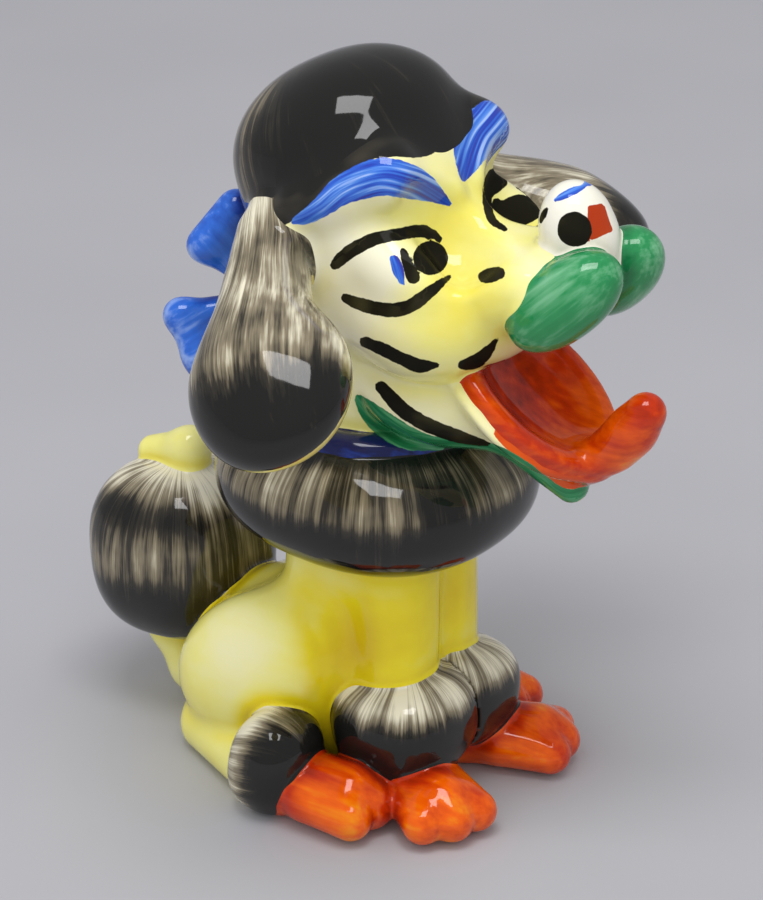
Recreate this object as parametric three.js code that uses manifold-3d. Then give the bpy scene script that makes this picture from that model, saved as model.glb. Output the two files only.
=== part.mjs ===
// A seated poodle figurine in glazed earthenware, in millimetres, +Z up.
// The dog faces -Y and its left side is +X. The origin is on the ground, under the neck.
// The figure is slip-cast: hollow castings and small solid pieces, luted together with slip.
import * as THREE from "three";
import { mergeVertices } from "three/addons/utils/BufferGeometryUtils.js";
import Module from "manifold-3d";

// Casting
const WALL = 4.5;
const SLIP_GAP = 0.3;
const SLIP_EXTRAS = [0, 0.04, 0.08, 0.12, 0.16, 0.2, 0.24, 0.28];
const CUT_TOLERANCE = 0.06;
const CAVITY_COARSENESS = 1.8;
const POUR_HOLE_DIAMETER = 18;
const VENT_DIAMETER = 8;

// Body: chest column, rump, haunches, front legs and hind shanks
const NECK_HEIGHT = 84;
const NECK_DIAMETER = 38;
const CHEST_WIDTH = 46;
const CHEST_DEPTH = 45;
const CHEST_HEIGHT = 104;
const RUMP_WIDTH = 52;
const RUMP_DEPTH = 56;
const RUMP_HEIGHT = 52;
const RUMP_BACK = 26;
const HAUNCH_WIDTH = 27;
const HAUNCH_LENGTH = 52;
const HAUNCH_HEIGHT = 37;
const HAUNCH_SPREAD = 22;
const HAUNCH_PITCH = 35;
const LEG_DIAMETER = 17;
const LEG_SPREAD = 9.5;
const LEG_FORWARD = 11.5;
const SHANK_DIAMETER = 17;

// Mane: the ruff round the neck
const MANE_DIAMETER = 79;
const MANE_HEIGHT = 40;
const MANE_TILT = 4;
const MANE_FULLNESS = 2.3;

// Head
const HEAD_LIFT = 64;
const SKULL_WIDTH = 58;
const SKULL_DEPTH = 56;
const SKULL_HEIGHT = 54;
const FOREHEAD_WIDTH = 42;
const MUZZLE_WIDTH = 52;
const MUZZLE_HEIGHT = 38;
const SNOUT_WIDTH = 41;
const SNOUT_HEIGHT = 20;
const SNOUT_REACH = 49;
const BROW_THICKNESS = 9;
const SOCKET_WIDTH = 24;
const SOCKET_LENGTH = 25;
const SOCKET_HEIGHT = 27;
const EYE_THICKNESS = 13;
const EYE_LENGTH = 24;
const CHEEK_LENGTH = 36;
const CHEEK_THICKNESS = 24;
const THROAT_DIAMETER = 46;

// Mouth, jaw and tongue: the tongue is a scoop that lies in the jaw
const MOUTH_DROP = 30.5;
const RIM_PITCH = 38;
const RIM_THICKNESS = 5;
const JAW_WALL = 3.5;
const JOWL_LENGTH = 50;
const JOWL_HEIGHT = 31;
const KEEL_DIAMETER = 15.6;
const CHIN_DIAMETER = 9;
const TONGUE_WIDTH = 41;
const TONGUE_LENGTH = 52;
const TONGUE_DEPTH = 11;
const TONGUE_TIP_DIAMETER = 10.5;
const TONGUE_TIP_RISE = 17;

// Nose and lips
const NOSE_WIDTH = 22;
const NOSE_DEPTH = 24;
const NOSE_HEIGHT = 25;
const PHILTRUM_DIAMETER = 11;
const LIP_WIDTH = 19;
const LIP_LENGTH = 33;
const LIP_HEIGHT = 19;
const LIP_SPREAD = 11.5;

// Topknot
const TOPKNOT_WIDTH = 58;
const TOPKNOT_DEPTH = 57;
const TOPKNOT_HEIGHT = 48;
const TOPKNOT_TILT = 28;

// Ears
const EAR_LENGTH = 69;
const EAR_WIDTH = 38;
const EAR_THICKNESS = 24;
const EAR_ROOT_DIAMETER = 15;

// Ribbon: collar and bow
const COLLAR_DIAMETER = 46;
const COLLAR_THICKNESS = 9;
const COLLAR_HEIGHT = 7;
const COLLAR_SINK = 1.75;
const BOW_KNOT_DIAMETER = 16;
const BOW_LOOP_LENGTH = 31;
const BOW_LOOP_WIDTH = 12;
const BOW_TAIL_LENGTH = 31;
const BOW_TAIL_WIDTH = 22;
const BOW_THICKNESS = 8;

// Tail
const TAIL_DIAMETER = 14;
const TAIL_REACH = 10;
const POMPOM_DIAMETER = 46;
const POMPOM_HEIGHT = 49;
const POMPOM_LIFT = 44;
const POMPOM_WALL = 13;
const TAIL_TIP_DIAMETER = 10.5;

// Paws
const FRONT_CUFF_WIDTH = 37;
const FRONT_CUFF_DEPTH = 34.5;
const FRONT_CUFF_HEIGHT = 29;
const FRONT_CUFF_DROOP = 10;
const HIND_CUFF_WIDTH = 26;
const HIND_CUFF_LENGTH = 22;
const HIND_CUFF_HEIGHT = 28;
const FRONT_PAW_LENGTH = 33;
const FRONT_PAW_WIDTH = 24;
const FRONT_PAW_HEIGHT = 18;
const FRONT_PAW_HEADING = 29;
const HIND_PAW_LENGTH = 34;
const HIND_PAW_WIDTH = 25;
const HIND_PAW_HEIGHT = 19;
const HIND_PAW_HEADING = -8;

const wasm = await Module();
wasm.setup();

const vec = (x, y, z) => new THREE.Vector3(x, y, z);
const radians = THREE.MathUtils.degToRad;

// Clay: each form is a field, negative inside, that knows the box it lies in.

// An egg, or with a higher power a fuller barrel, of the given full size.
function egg(at, size, turn = new THREE.Quaternion(), power = 2) {
  const [rx, ry, rz] = size.map((s) => s / 2);
  const e = new THREE.Matrix4().makeRotationFromQuaternion(turn).elements;
  const reach = Math.hypot(rx, ry, rz);
  const box = new THREE.Box3(at.clone().subScalar(reach), at.clone().addScalar(reach));
  const distance = (x, y, z) => {
    const dx = x - at.x;
    const dy = y - at.y;
    const dz = z - at.z;
    const a = Math.abs(e[0] * dx + e[1] * dy + e[2] * dz) / rx;
    const b = Math.abs(e[4] * dx + e[5] * dy + e[6] * dz) / ry;
    const c = Math.abs(e[8] * dx + e[9] * dy + e[10] * dz) / rz;
    const sum = a ** power + b ** power + c ** power;
    if (sum < 1e-9) return -Math.min(rx, ry, rz);
    const level = sum ** (1 / power);
    const slope = Math.hypot(a ** (power - 1) / rx, b ** (power - 1) / ry, c ** (power - 1) / rz);
    return (level - 1) / (slope * level ** (1 - power));
  };
  return { distance, box };
}

const ball = (at, diameter) => egg(at, [diameter, diameter, diameter]);

// A tapered limb with round ends, from one point to the next.
function taper(from, to, fromDiameter, toDiameter) {
  const ra = fromDiameter / 2;
  const rb = toDiameter / 2;
  const axis = to.clone().sub(from);
  const length = axis.length();
  axis.divideScalar(length);
  const lean = THREE.MathUtils.clamp((ra - rb) / length, -0.99, 0.99);
  const rise = Math.sqrt(1 - lean * lean);
  const reach = Math.max(ra, rb);
  const box = new THREE.Box3().setFromPoints([from, to]).expandByScalar(reach);
  const distance = (x, y, z) => {
    const dx = x - from.x;
    const dy = y - from.y;
    const dz = z - from.z;
    const along = dx * axis.x + dy * axis.y + dz * axis.z;
    const out = Math.sqrt(Math.max(0, dx * dx + dy * dy + dz * dz - along * along));
    const slide = (along - (out * lean) / rise) / length;
    if (slide <= 0) return Math.hypot(along, out) - ra;
    if (slide >= 1) return Math.hypot(along - length, out) - rb;
    return out * rise + along * lean - ra;
  };
  return { distance, box };
}

// Forms pressed together, with a fillet of about the given radius.
function soft(fillet, ...forms) {
  const box = new THREE.Box3();
  forms.forEach((form) => box.union(form.box));
  const distance = (x, y, z) =>
    forms.reduce((near, form) => {
      const d = form.distance(x, y, z);
      const h = Math.max(fillet - Math.abs(near - d), 0) / fillet;
      return Math.min(near, d) - (h * h * fillet) / 4;
    }, 1e6);
  return { distance, box: box.expandByScalar(fillet / 4) };
}

// A form with another carved out of it, the edge rounded by the fillet.
function carve(fillet, form, tool) {
  const distance = (x, y, z) => {
    const a = form.distance(x, y, z);
    const b = -tool.distance(x, y, z);
    const h = Math.max(fillet - Math.abs(a - b), 0) / fillet;
    return Math.max(a, b) + (h * h * fillet) / 4;
  };
  return { distance, box: form.box };
}

// A limb through several points, each with its diameter.
const limb = (fillet, points, diameters) =>
  soft(fillet, ...points.slice(1).map((p, i) => taper(points[i], p, diameters[i], diameters[i + 1])));

// The same form on both sides of the dog.
function pair(form) {
  const box = form.box.clone();
  box.min.x = -box.max.x;
  return { distance: (x, y, z) => form.distance(Math.abs(x), y, z), box };
}

// The inside of a casting, one wall smaller than the form and with a flat floor one wall above the ground.
const cavity = (form, wall) => ({
  distance: (x, y, z) => Math.max(form.distance(x, y, z) + wall, wall - z),
  box: form.box,
});

// A turn that points local +Z along a direction, with local +Y as near as can be to another.
function aim(direction, towards) {
  const z = direction.clone().normalize();
  const x = towards.clone().cross(z).normalize();
  const y = z.clone().cross(x);
  return new THREE.Quaternion().setFromRotationMatrix(new THREE.Matrix4().makeBasis(x, y, z));
}

const pitch = (degrees) => new THREE.Quaternion().setFromAxisAngle(vec(1, 0, 0), radians(degrees));

// The eight corners of a grid cell, its twelve edges and the diagonals of its faces.
const CORNERS = [0, 1, 2, 3, 4, 5, 6, 7].map((n) => [n & 1, (n >> 1) & 1, n >> 2]);
const cornerPairs = (apart) =>
  CORNERS.flatMap((p, a) =>
    CORNERS.map((q, b) => [a, b, Math.abs(p[0] - q[0]) + Math.abs(p[1] - q[1]) + Math.abs(p[2] - q[2])]),
  ).filter(([a, b, steps]) => a < b && steps === apart);
const CELL_EDGES = cornerPairs(1);
const FACE_DIAGONALS = cornerPairs(2);

// The field's values on a grid of the given cell, round the form's box.
function sampled(form, cell) {
  const low = form.box.min.clone().subScalar(2 * cell);
  const span = form.box.getSize(vec(0, 0, 0)).addScalar(4 * cell);
  const counts = span.toArray().map((length) => Math.ceil(length / cell) + 1);
  const steps = [1, counts[0], counts[0] * counts[1]];
  const values = new Float32Array(counts[0] * counts[1] * counts[2]);
  for (let k = 0; k < counts[2]; k++)
    for (let j = 0; j < counts[1]; j++)
      for (let i = 0; i < counts[0]; i++)
        values[i + j * steps[1] + k * steps[2]] = form.distance(
          low.x + i * cell,
          low.y + j * cell,
          low.z + k * cell,
        );
  return { low, counts, steps, values };
}

// Which of a cell's corners hang together: along edges, and outside the form also across faces.
function cornerGroups(inside) {
  const group = [0, 1, 2, 3, 4, 5, 6, 7];
  const join = ([a, b]) => {
    const [keep, drop] = [group[a], group[b]];
    group.forEach((g, n) => (group[n] = g === drop ? keep : g));
  };
  CELL_EDGES.filter(([a, b]) => inside[a] === inside[b]).forEach(join);
  FACE_DIAGONALS.filter(([a, b]) => !inside[a] && !inside[b]).forEach(join);
  return group;
}

// The closed surface of a field: one point for each sheet in a grid cell,
// and one quad for each grid edge it crosses.
function surface(form, cell) {
  const { low, counts, steps, values } = sampled(form, cell);
  const cornerSteps = CORNERS.map((c) => c[0] * steps[0] + c[1] * steps[1] + c[2] * steps[2]);
  const points = [];
  const cells = new Map();
  const sheet = (group, a, b) => group[a] * 8 + group[b];
  const openCell = (i, j, k) => {
    const here = i + j * steps[1] + k * steps[2];
    const corner = cornerSteps.map((step) => values[here + step]);
    const inside = corner.map((value) => value < 0);
    const crossed = CELL_EDGES.filter(([a, b]) => inside[a] !== inside[b]);
    if (!crossed.length) return;
    const group = cornerGroups(inside);
    const sums = new Map();
    for (const [a, b] of crossed) {
      const t = corner[a] / (corner[a] - corner[b]);
      const at = vec(i, j, k).add(vec(...CORNERS[a]).lerp(vec(...CORNERS[b]), t));
      const key = inside[a] ? sheet(group, a, b) : sheet(group, b, a);
      if (!sums.has(key)) sums.set(key, []);
      sums.get(key).push(at);
    }
    const pointOf = new Map();
    for (const [key, list] of sums) {
      const middle = list.reduce((sum, at) => sum.add(at), vec(0, 0, 0)).divideScalar(list.length);
      pointOf.set(key, points.length);
      points.push(settled(form, middle.multiplyScalar(cell).add(low), cell));
    }
    cells.set(here, { group, pointOf });
  };
  const triangles = [];
  const closeEdge = (here, axis) => {
    const [u, v] = [(axis + 1) % 3, (axis + 2) % 3];
    const inside = values[here] < 0;
    const ring = [[0, 0], [1, 0], [1, 1], [0, 1]].map(([a, b]) => {
      const { group, pointOf } = cells.get(here - a * steps[u] - b * steps[v]);
      const near = (a << u) | (b << v);
      const far = near | (1 << axis);
      return pointOf.get(inside ? sheet(group, near, far) : sheet(group, far, near));
    });
    if (!inside) ring.reverse();
    triangles.push(ring[0], ring[1], ring[2], ring[0], ring[2], ring[3]);
  };
  for (let k = 0; k < counts[2] - 1; k++)
    for (let j = 0; j < counts[1] - 1; j++)
      for (let i = 0; i < counts[0] - 1; i++) {
        openCell(i, j, k);
        const here = i + j * steps[1] + k * steps[2];
        for (const axis of [0, 1, 2]) {
          const crosses = values[here] < 0 !== values[here + steps[axis]] < 0;
          if (crosses) closeEdge(here, axis);
        }
      }
  const geometry = new THREE.BufferGeometry();
  geometry.setAttribute("position", new THREE.Float32BufferAttribute(points.flatMap((p) => p.toArray()), 3));
  geometry.setIndex(triangles);
  return geometry;
}

// A left-hand surface turned into its right-hand twin.
function mirrored(geometry) {
  const twin = geometry.clone().scale(-1, 1, 1);
  twin.setIndex(Array.from(geometry.index.array).reverse());
  return twin;
}

// The point moved onto the field's zero surface, along its slope.
function settled(form, p, cell) {
  const h = cell / 20;
  for (let pass = 0; pass < 3; pass++) {
    const d = form.distance(p.x, p.y, p.z);
    const slope = vec(
      form.distance(p.x + h, p.y, p.z) - d,
      form.distance(p.x, p.y + h, p.z) - d,
      form.distance(p.x, p.y, p.z + h) - d,
    ).divideScalar(h);
    const step = slope.multiplyScalar(-d / Math.max(slope.lengthSq(), 0.05));
    p.add(step.clampLength(0, cell / 2));
  }
  return p;
}

// Solids: the closed geometries joined and cut.
function closed(geometry) {
  const bare = geometry.clone();
  bare.deleteAttribute("normal");
  bare.deleteAttribute("uv");
  return mergeVertices(bare, 1e-4);
}

function solid(geometry) {
  const { attributes, index } = closed(geometry);
  return new wasm.Manifold(
    new wasm.Mesh({
      numProp: 3,
      vertProperties: attributes.position.array,
      triVerts: new Uint32Array(index.array),
    }),
  );
}

function geometryOf(made) {
  const mesh = made.getMesh();
  const geometry = new THREE.BufferGeometry();
  geometry.setAttribute("position", new THREE.Float32BufferAttribute(mesh.vertProperties, 3));
  geometry.setIndex(Array.from(mesh.triVerts));
  return geometry;
}

// True where each edge of the surface joins exactly two faces.
function isSound(geometry) {
  const at = geometry.attributes.position;
  const names = new Map();
  const key = (i) => [at.getX(i), at.getY(i), at.getZ(i)].map((v) => v.toFixed(4)).join();
  const number = Array.from({ length: at.count }, (_, i) => {
    const name = key(i);
    if (!names.has(name)) names.set(name, names.size);
    return names.get(name);
  });
  const faces = new Map();
  const corners = geometry.index.array;
  for (let i = 0; i < corners.length; i++) {
    const next = i % 3 === 2 ? i - 2 : i + 1;
    const ends = [number[corners[i]], number[corners[next]]].sort((a, b) => a - b).join();
    faces.set(ends, (faces.get(ends) || 0) + 1);
  }
  return [...faces.values()].every((count) => count === 2);
}

// The largest body that the cuts leave, without slivers.
// Where a feather edge pinches, the slip is a little thicker.
function finished(name, cutWithGap) {
  for (const extra of SLIP_EXTRAS) {
    const bodies = cutWithGap(SLIP_GAP + extra).simplify(CUT_TOLERANCE).decompose();
    const geometry = geometryOf(bodies.sort((a, b) => b.volume() - a.volume())[0]);
    if (isSound(geometry)) return geometry;
  }
  throw new Error(`a cut leaves a pinched edge on ${name}`);
}

// The same closed surface moved out along its normals, to cut a seat with room for slip.
function seatTool(geometry, gap) {
  const tool = closed(geometry);
  tool.computeVertexNormals();
  const at = tool.attributes.position;
  const normal = tool.attributes.normal;
  const out = vec(0, 0, 0);
  for (let i = 0; i < at.count; i++) {
    out.fromBufferAttribute(at, i).addScaledVector(vec(normal.getX(i), normal.getY(i), normal.getZ(i)), gap);
    at.setXYZ(i, out.x, out.y, out.z);
  }
  return solid(tool);
}

function drill(at, diameter, length) {
  const bit = new THREE.CylinderGeometry(diameter / 2, diameter / 2, length, 20);
  return solid(bit.rotateX(Math.PI / 2).translate(at.x, at.y, at.z));
}

const GROUND_SIZE = 600;
const groundBlock = new THREE.BoxGeometry(GROUND_SIZE, GROUND_SIZE, GROUND_SIZE);
const ground = solid(groundBlock.translate(0, 0, -GROUND_SIZE / 2));

const glaze = (color) => new THREE.MeshStandardMaterial({ color, roughness: 0.12, metalness: 0 });
const YELLOW = glaze(0xf0df62);
const BLACK = glaze(0x2a2825);
const ORANGE = glaze(0xe8480a);
const BLUE = glaze(0x2255c4);
const GREEN = glaze(0x2f9a5c);
const WHITE = glaze(0xf3efe4);

// Places that several pieces share
const maneAt = vec(0, 1, NECK_HEIGHT - 1);
const skull = vec(0, 1, NECK_HEIGHT + HEAD_LIFT);
const throatAt = vec(0, skull.y + 1, NECK_HEIGHT + 8);
const snout = vec(0, skull.y - SNOUT_REACH, skull.z - 2);
const mouth = vec(0, snout.y + 2, skull.z - MOUTH_DROP);
const chin = vec(0, mouth.y - 10, mouth.z - 24);
const pompomAt = vec(0, RUMP_BACK + RUMP_DEPTH / 2 + TAIL_REACH, POMPOM_LIFT);
const collarAt = vec(0, throatAt.y, maneTop(COLLAR_DIAMETER / 2) - COLLAR_SINK);
const bowKnot = vec(0, SKULL_DEPTH / 2 - 0.5, NECK_HEIGHT + 38);
const frontAnkle = vec(LEG_SPREAD + 2.5, -LEG_FORWARD - 4.5, 0);
const hindAnkle = vec(HAUNCH_SPREAD + 13, RUMP_BACK - 18, 0);

// How high the top of the mane is at a distance from its middle.
function maneTop(radius) {
  const share = 1 - Math.pow((2 * radius) / MANE_DIAMETER, MANE_FULLNESS);
  return maneAt.z + (MANE_HEIGHT / 2) * Math.pow(share, 1 / MANE_FULLNESS);
}

// The hollow trunk, without the limbs, which the slip fills solid.
function trunkForm() {
  const chestAt = vec(0, 1, NECK_HEIGHT + 16 - CHEST_HEIGHT / 2);
  const chest = egg(chestAt, [CHEST_WIDTH, CHEST_DEPTH, CHEST_HEIGHT], undefined, 2.4);
  const rump = egg(vec(0, RUMP_BACK, RUMP_HEIGHT / 2 - 5), [RUMP_WIDTH, RUMP_DEPTH, RUMP_HEIGHT]);
  return soft(14, chest, rump);
}

function bodyForm() {
  const haunchAt = vec(HAUNCH_SPREAD, RUMP_BACK - 3, HAUNCH_HEIGHT / 2 + 11);
  const haunch = egg(haunchAt, [HAUNCH_WIDTH, HAUNCH_LENGTH, HAUNCH_HEIGHT], pitch(-HAUNCH_PITCH));
  const legTop = vec(LEG_SPREAD, -LEG_FORWARD, NECK_HEIGHT - 14);
  const leg = taper(legTop, vec(LEG_SPREAD + 1.5, -LEG_FORWARD - 1, 15), LEG_DIAMETER + 1, LEG_DIAMETER);
  const hock = vec(HAUNCH_SPREAD - 2, RUMP_BACK + 14, SHANK_DIAMETER / 2 - 2);
  const heel = vec(hindAnkle.x - 2, hindAnkle.y + 5, SHANK_DIAMETER / 2 - 1.5);
  const shank = taper(hock, heel, SHANK_DIAMETER, SHANK_DIAMETER);
  const stub = taper(vec(0, 0, NECK_HEIGHT - 20), vec(0, 0, NECK_HEIGHT - 8), NECK_DIAMETER, NECK_DIAMETER);
  return soft(7, trunkForm(), pair(soft(3, haunch, shank)), pair(leg), stub);
}

function maneForm() {
  return egg(maneAt, [MANE_DIAMETER, MANE_DIAMETER, MANE_HEIGHT], pitch(MANE_TILT), MANE_FULLNESS);
}

// A boat-shaped scoop, cut off level a little over its middle, in the slope of the open mouth.
function scoopForm(width, length, depth, level) {
  const turn = pitch(RIM_PITCH);
  const up = vec(0, 0, 1).applyQuaternion(turn);
  const hull = egg(mouth, [width, length, 2 * depth], turn);
  const floor = mouth.dot(up) + level;
  const open = { distance: (x, y, z) => floor - x * up.x - y * up.y - z * up.z, box: hull.box };
  return carve(RIM_THICKNESS / 2, hull, open);
}

// The hollow of the open mouth, which leaves the rim of the tongue standing all round.
function bowlForm(rim) {
  const turn = pitch(RIM_PITCH);
  const lift = 4;
  const at = mouth.clone().addScaledVector(vec(0, 0, 1).applyQuaternion(turn), lift);
  const depth = TONGUE_DEPTH - rim + lift;
  return egg(at, [TONGUE_WIDTH - 2 * rim, TONGUE_LENGTH - 2 * rim, 2 * depth], turn);
}

// The hollow of the head: skull, muzzle and throat.
function craniumForm() {
  const crown = egg(skull, [SKULL_WIDTH, SKULL_DEPTH, SKULL_HEIGHT], undefined, 2.2);
  const forehead = egg(vec(0, skull.y - 11, skull.z + 15), [FOREHEAD_WIDTH, 26, 22]);
  const muzzleAt = vec(0, skull.y - 25, skull.z - 9);
  const muzzle = egg(muzzleAt, [MUZZLE_WIDTH, SNOUT_REACH - 3, MUZZLE_HEIGHT], undefined, 2.4);
  const front = egg(snout, [SNOUT_WIDTH, 27, SNOUT_HEIGHT], pitch(-18), 2.5);
  const throat = taper(vec(0, throatAt.y, skull.z - 20), throatAt, THROAT_DIAMETER, NECK_DIAMETER);
  return soft(10, soft(8, crown, forehead), soft(8, muzzle, front), throat);
}

// The hollow between the brow and the bridge of the nose that the inner end of the eye lies in.
function socketForm() {
  const at = vec(MUZZLE_WIDTH / 3, skull.y - 33.5, skull.z + 12);
  return egg(at, [SOCKET_WIDTH, SOCKET_LENGTH, SOCKET_HEIGHT]);
}

function headForm() {
  const cheekAt = vec(MUZZLE_WIDTH / 2 - 8, skull.y - 24, skull.z - 14);
  const cheek = egg(cheekAt, [CHEEK_THICKNESS, CHEEK_LENGTH, CHEEK_THICKNESS + 4]);
  const browPoints = [
    vec(SKULL_WIDTH / 2, skull.y + 2, skull.z + 13),
    vec(SKULL_WIDTH / 3, skull.y - 16, skull.z + 23),
    vec(6, skull.y - 24, skull.z + 16),
  ];
  const brow = limb(4, browPoints, [BROW_THICKNESS, BROW_THICKNESS, BROW_THICKNESS * 0.6]);
  const face = carve(4, soft(5, craniumForm(), pair(cheek), pair(brow)), pair(socketForm()));
  const eyeAt = vec(SKULL_WIDTH / 2 - 6.5, skull.y - 21.5, skull.z + 1);
  const eye = egg(eyeAt, [EYE_THICKNESS, EYE_LENGTH, EYE_THICKNESS + 1], pitch(20));
  return soft(2.5, face, pair(eye));
}

function jawForm() {
  const width = TONGUE_WIDTH + 2 * JAW_WALL;
  const hull = scoopForm(width, TONGUE_LENGTH + JAW_WALL, TONGUE_DEPTH + JAW_WALL / 3, -3);
  const jowl = egg(vec(0, mouth.y + 26, mouth.z - 4), [width, JOWL_LENGTH, JOWL_HEIGHT], pitch(8));
  const keel = taper(vec(0, mouth.y + 10, mouth.z - 11), chin, KEEL_DIAMETER, CHIN_DIAMETER);
  return soft(6, hull, jowl, keel);
}

function tongueForm() {
  const blade = carve(2.5, scoopForm(TONGUE_WIDTH, TONGUE_LENGTH, TONGUE_DEPTH, 1), bowlForm(RIM_THICKNESS));
  const curl = [
    vec(0, mouth.y - 15, mouth.z - 16.5),
    vec(0, mouth.y - 22, mouth.z - 10.5),
    vec(0, mouth.y - 26.5, mouth.z - 5),
    vec(0, mouth.y - 30, mouth.z - 16.5 + TONGUE_TIP_RISE),
  ];
  const tipDiameters = [0.9, 0.95, 1, 1].map((share) => share * TONGUE_TIP_DIAMETER);
  return soft(5, blade, limb(5, curl, tipDiameters));
}

function noseForm() {
  const at = vec(0, snout.y - 8, snout.z + 13.5);
  const knob = egg(at, [NOSE_WIDTH, NOSE_DEPTH, NOSE_HEIGHT], pitch(-15));
  const ridgeTop = vec(0, at.y - 7, at.z - 3);
  const ridge = taper(ridgeTop, vec(0, at.y - 9, at.z - 9), PHILTRUM_DIAMETER, PHILTRUM_DIAMETER);
  return soft(6, knob, ridge);
}

function lipForm() {
  const at = vec(LIP_SPREAD, snout.y - 12, snout.z + 0.5);
  return egg(at, [LIP_WIDTH, LIP_HEIGHT, LIP_LENGTH], aim(vec(-0.26, -0.69, 0.68), vec(0, 1, 1)), 2.1);
}

function topknotForm() {
  const at = vec(0, skull.y + 7.5, skull.z + SKULL_HEIGHT / 2 - 8.5);
  return egg(at, [TOPKNOT_WIDTH, TOPKNOT_DEPTH, TOPKNOT_HEIGHT], pitch(-TOPKNOT_TILT), 2.2);
}

function earForm() {
  const root = vec(SKULL_WIDTH / 2 - 1, skull.y + 8.5, skull.z + 4);
  const along = vec(0.77, -0.53, -0.46).normalize();
  const outward = vec(0.75, 0, 0.66);
  const lobeLength = EAR_LENGTH * 0.62;
  const lobeAt = root.clone().addScaledVector(along, EAR_LENGTH - lobeLength / 2);
  const lobe = egg(lobeAt, [EAR_WIDTH, EAR_THICKNESS, lobeLength], aim(along, outward), 2.1);
  const stalk = taper(root, lobeAt.clone().add(vec(0, 5, 0)), EAR_ROOT_DIAMETER, EAR_THICKNESS * 1.2);
  return soft(9, lobe, stalk);
}

// A flat band bent into a ring, turned from its rounded section.
function collarRing() {
  const section = [0, 1, 2, 3, 4, 5, 6].map((n) => {
    const turn = (n / 6) * 2 * Math.PI;
    const across = Math.cos(turn) * COLLAR_THICKNESS * 0.54;
    const up = Math.sin(turn) * COLLAR_HEIGHT * 0.54;
    return new THREE.Vector2(COLLAR_DIAMETER / 2 + across, up);
  });
  const ring = new THREE.LatheGeometry(section, 24).rotateX(Math.PI / 2);
  return ring.translate(collarAt.x, collarAt.y, collarAt.z);
}

// A ribbon end that fans out from the knot in three pleats to a straight folded edge.
function ribbonForm(along, across, length, width) {
  const fold = bowKnot.clone().addScaledVector(along.normalize(), length - BOW_THICKNESS / 2);
  const half = across.setLength(width / 2);
  const [upper, lower] = [fold.clone().add(half), fold.clone().sub(half)];
  const pleats = [upper, fold, lower].map((end) => taper(bowKnot, end, BOW_THICKNESS, BOW_THICKNESS));
  return soft(4, ...pleats, taper(upper, lower, BOW_THICKNESS, BOW_THICKNESS));
}

const bowLoopForm = () =>
  ribbonForm(vec(13, 14.1, 22.9), vec(-8, -4.2, 8.8), BOW_LOOP_LENGTH, BOW_LOOP_WIDTH);
const bowTailForm = () =>
  ribbonForm(vec(21.9, 14, -11.7), vec(-1.8, 12.5, 18.6), BOW_TAIL_LENGTH, BOW_TAIL_WIDTH);

function tailStemForm() {
  const low = TAIL_DIAMETER / 2 + 2;
  const points = [
    vec(0, RUMP_BACK + 16, low),
    vec(0, pompomAt.y - 4, low),
    vec(0, pompomAt.y + 3, POMPOM_LIFT - POMPOM_HEIGHT / 2),
    vec(0, pompomAt.y, POMPOM_LIFT - 10),
  ];
  return limb(5, points, points.map(() => TAIL_DIAMETER));
}

const pompomForm = () => egg(pompomAt, [POMPOM_DIAMETER, POMPOM_DIAMETER, POMPOM_HEIGHT], pitch(-4), 2.6);

function tailTipForm() {
  const top = pompomAt.z + POMPOM_HEIGHT / 2;
  const points = [
    vec(0, pompomAt.y - 3, top - 3),
    vec(0, pompomAt.y - 3, top + 4),
    vec(0, pompomAt.y + 9, top),
  ];
  return limb(4, points, [TAIL_TIP_DIAMETER, TAIL_TIP_DIAMETER, TAIL_TIP_DIAMETER * 0.85]);
}

// A paw: an instep and three toes, pointing along a heading in degrees out from straight ahead.
function pawForm(ankle, heading, length, width, height) {
  const ahead = vec(Math.sin(radians(heading)), -Math.cos(radians(heading)), 0);
  const across = vec(-ahead.y, ahead.x, 0);
  const place = (along, side, lift) =>
    ankle.clone().setZ(lift).addScaledVector(ahead, along).addScaledVector(across, side);
  const heel = place(0, 0, height * 0.42);
  const instep = taper(heel, place(length * 0.6, 0, height * 0.42), height, height * 0.95);
  const toes = [-1, 0, 1].map((n) =>
    taper(
      place(length * 0.35, (n * width) / 4, height * 0.4),
      place(length * (0.8 - 0.06 * Math.abs(n)), (n * width) / 3.2, height * 0.34),
      height * 0.6,
      height * 0.62,
    ),
  );
  return soft(4, instep, soft(1.5, ...toes));
}

const frontPawForm = () =>
  pawForm(frontAnkle, FRONT_PAW_HEADING, FRONT_PAW_LENGTH, FRONT_PAW_WIDTH, FRONT_PAW_HEIGHT);
const hindPawForm = () =>
  pawForm(hindAnkle, HIND_PAW_HEADING, HIND_PAW_LENGTH, HIND_PAW_WIDTH, HIND_PAW_HEIGHT);

function frontCuffForm() {
  const at = vec(LEG_SPREAD, -LEG_FORWARD - 2.7, FRONT_CUFF_HEIGHT / 2 + 6.5);
  const droop = new THREE.Quaternion().setFromAxisAngle(vec(0, 1, 0), radians(FRONT_CUFF_DROOP));
  const lobe = egg(at, [FRONT_CUFF_WIDTH, FRONT_CUFF_DEPTH, FRONT_CUFF_HEIGHT], droop, 2.6);
  return { distance: (x, y, z) => Math.max(lobe.distance(x, y, z), SLIP_GAP / 2 - x), box: lobe.box };
}

function hindCuffForm() {
  const at = vec(hindAnkle.x, hindAnkle.y, HIND_CUFF_HEIGHT / 2 - 1);
  return egg(at, [HIND_CUFF_WIDTH, HIND_CUFF_LENGTH, HIND_CUFF_HEIGHT], pitch(10), 2.4);
}

// Every piece, from the one that carries the rest to the smallest:
// a later piece is cut to seat on an earlier one.
const pieces = [];
function piece(name, group, material, form, cell, options = {}) {
  pieces.push({ name, group, material, outside: surface(form, cell), cell, ...options });
}

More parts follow.
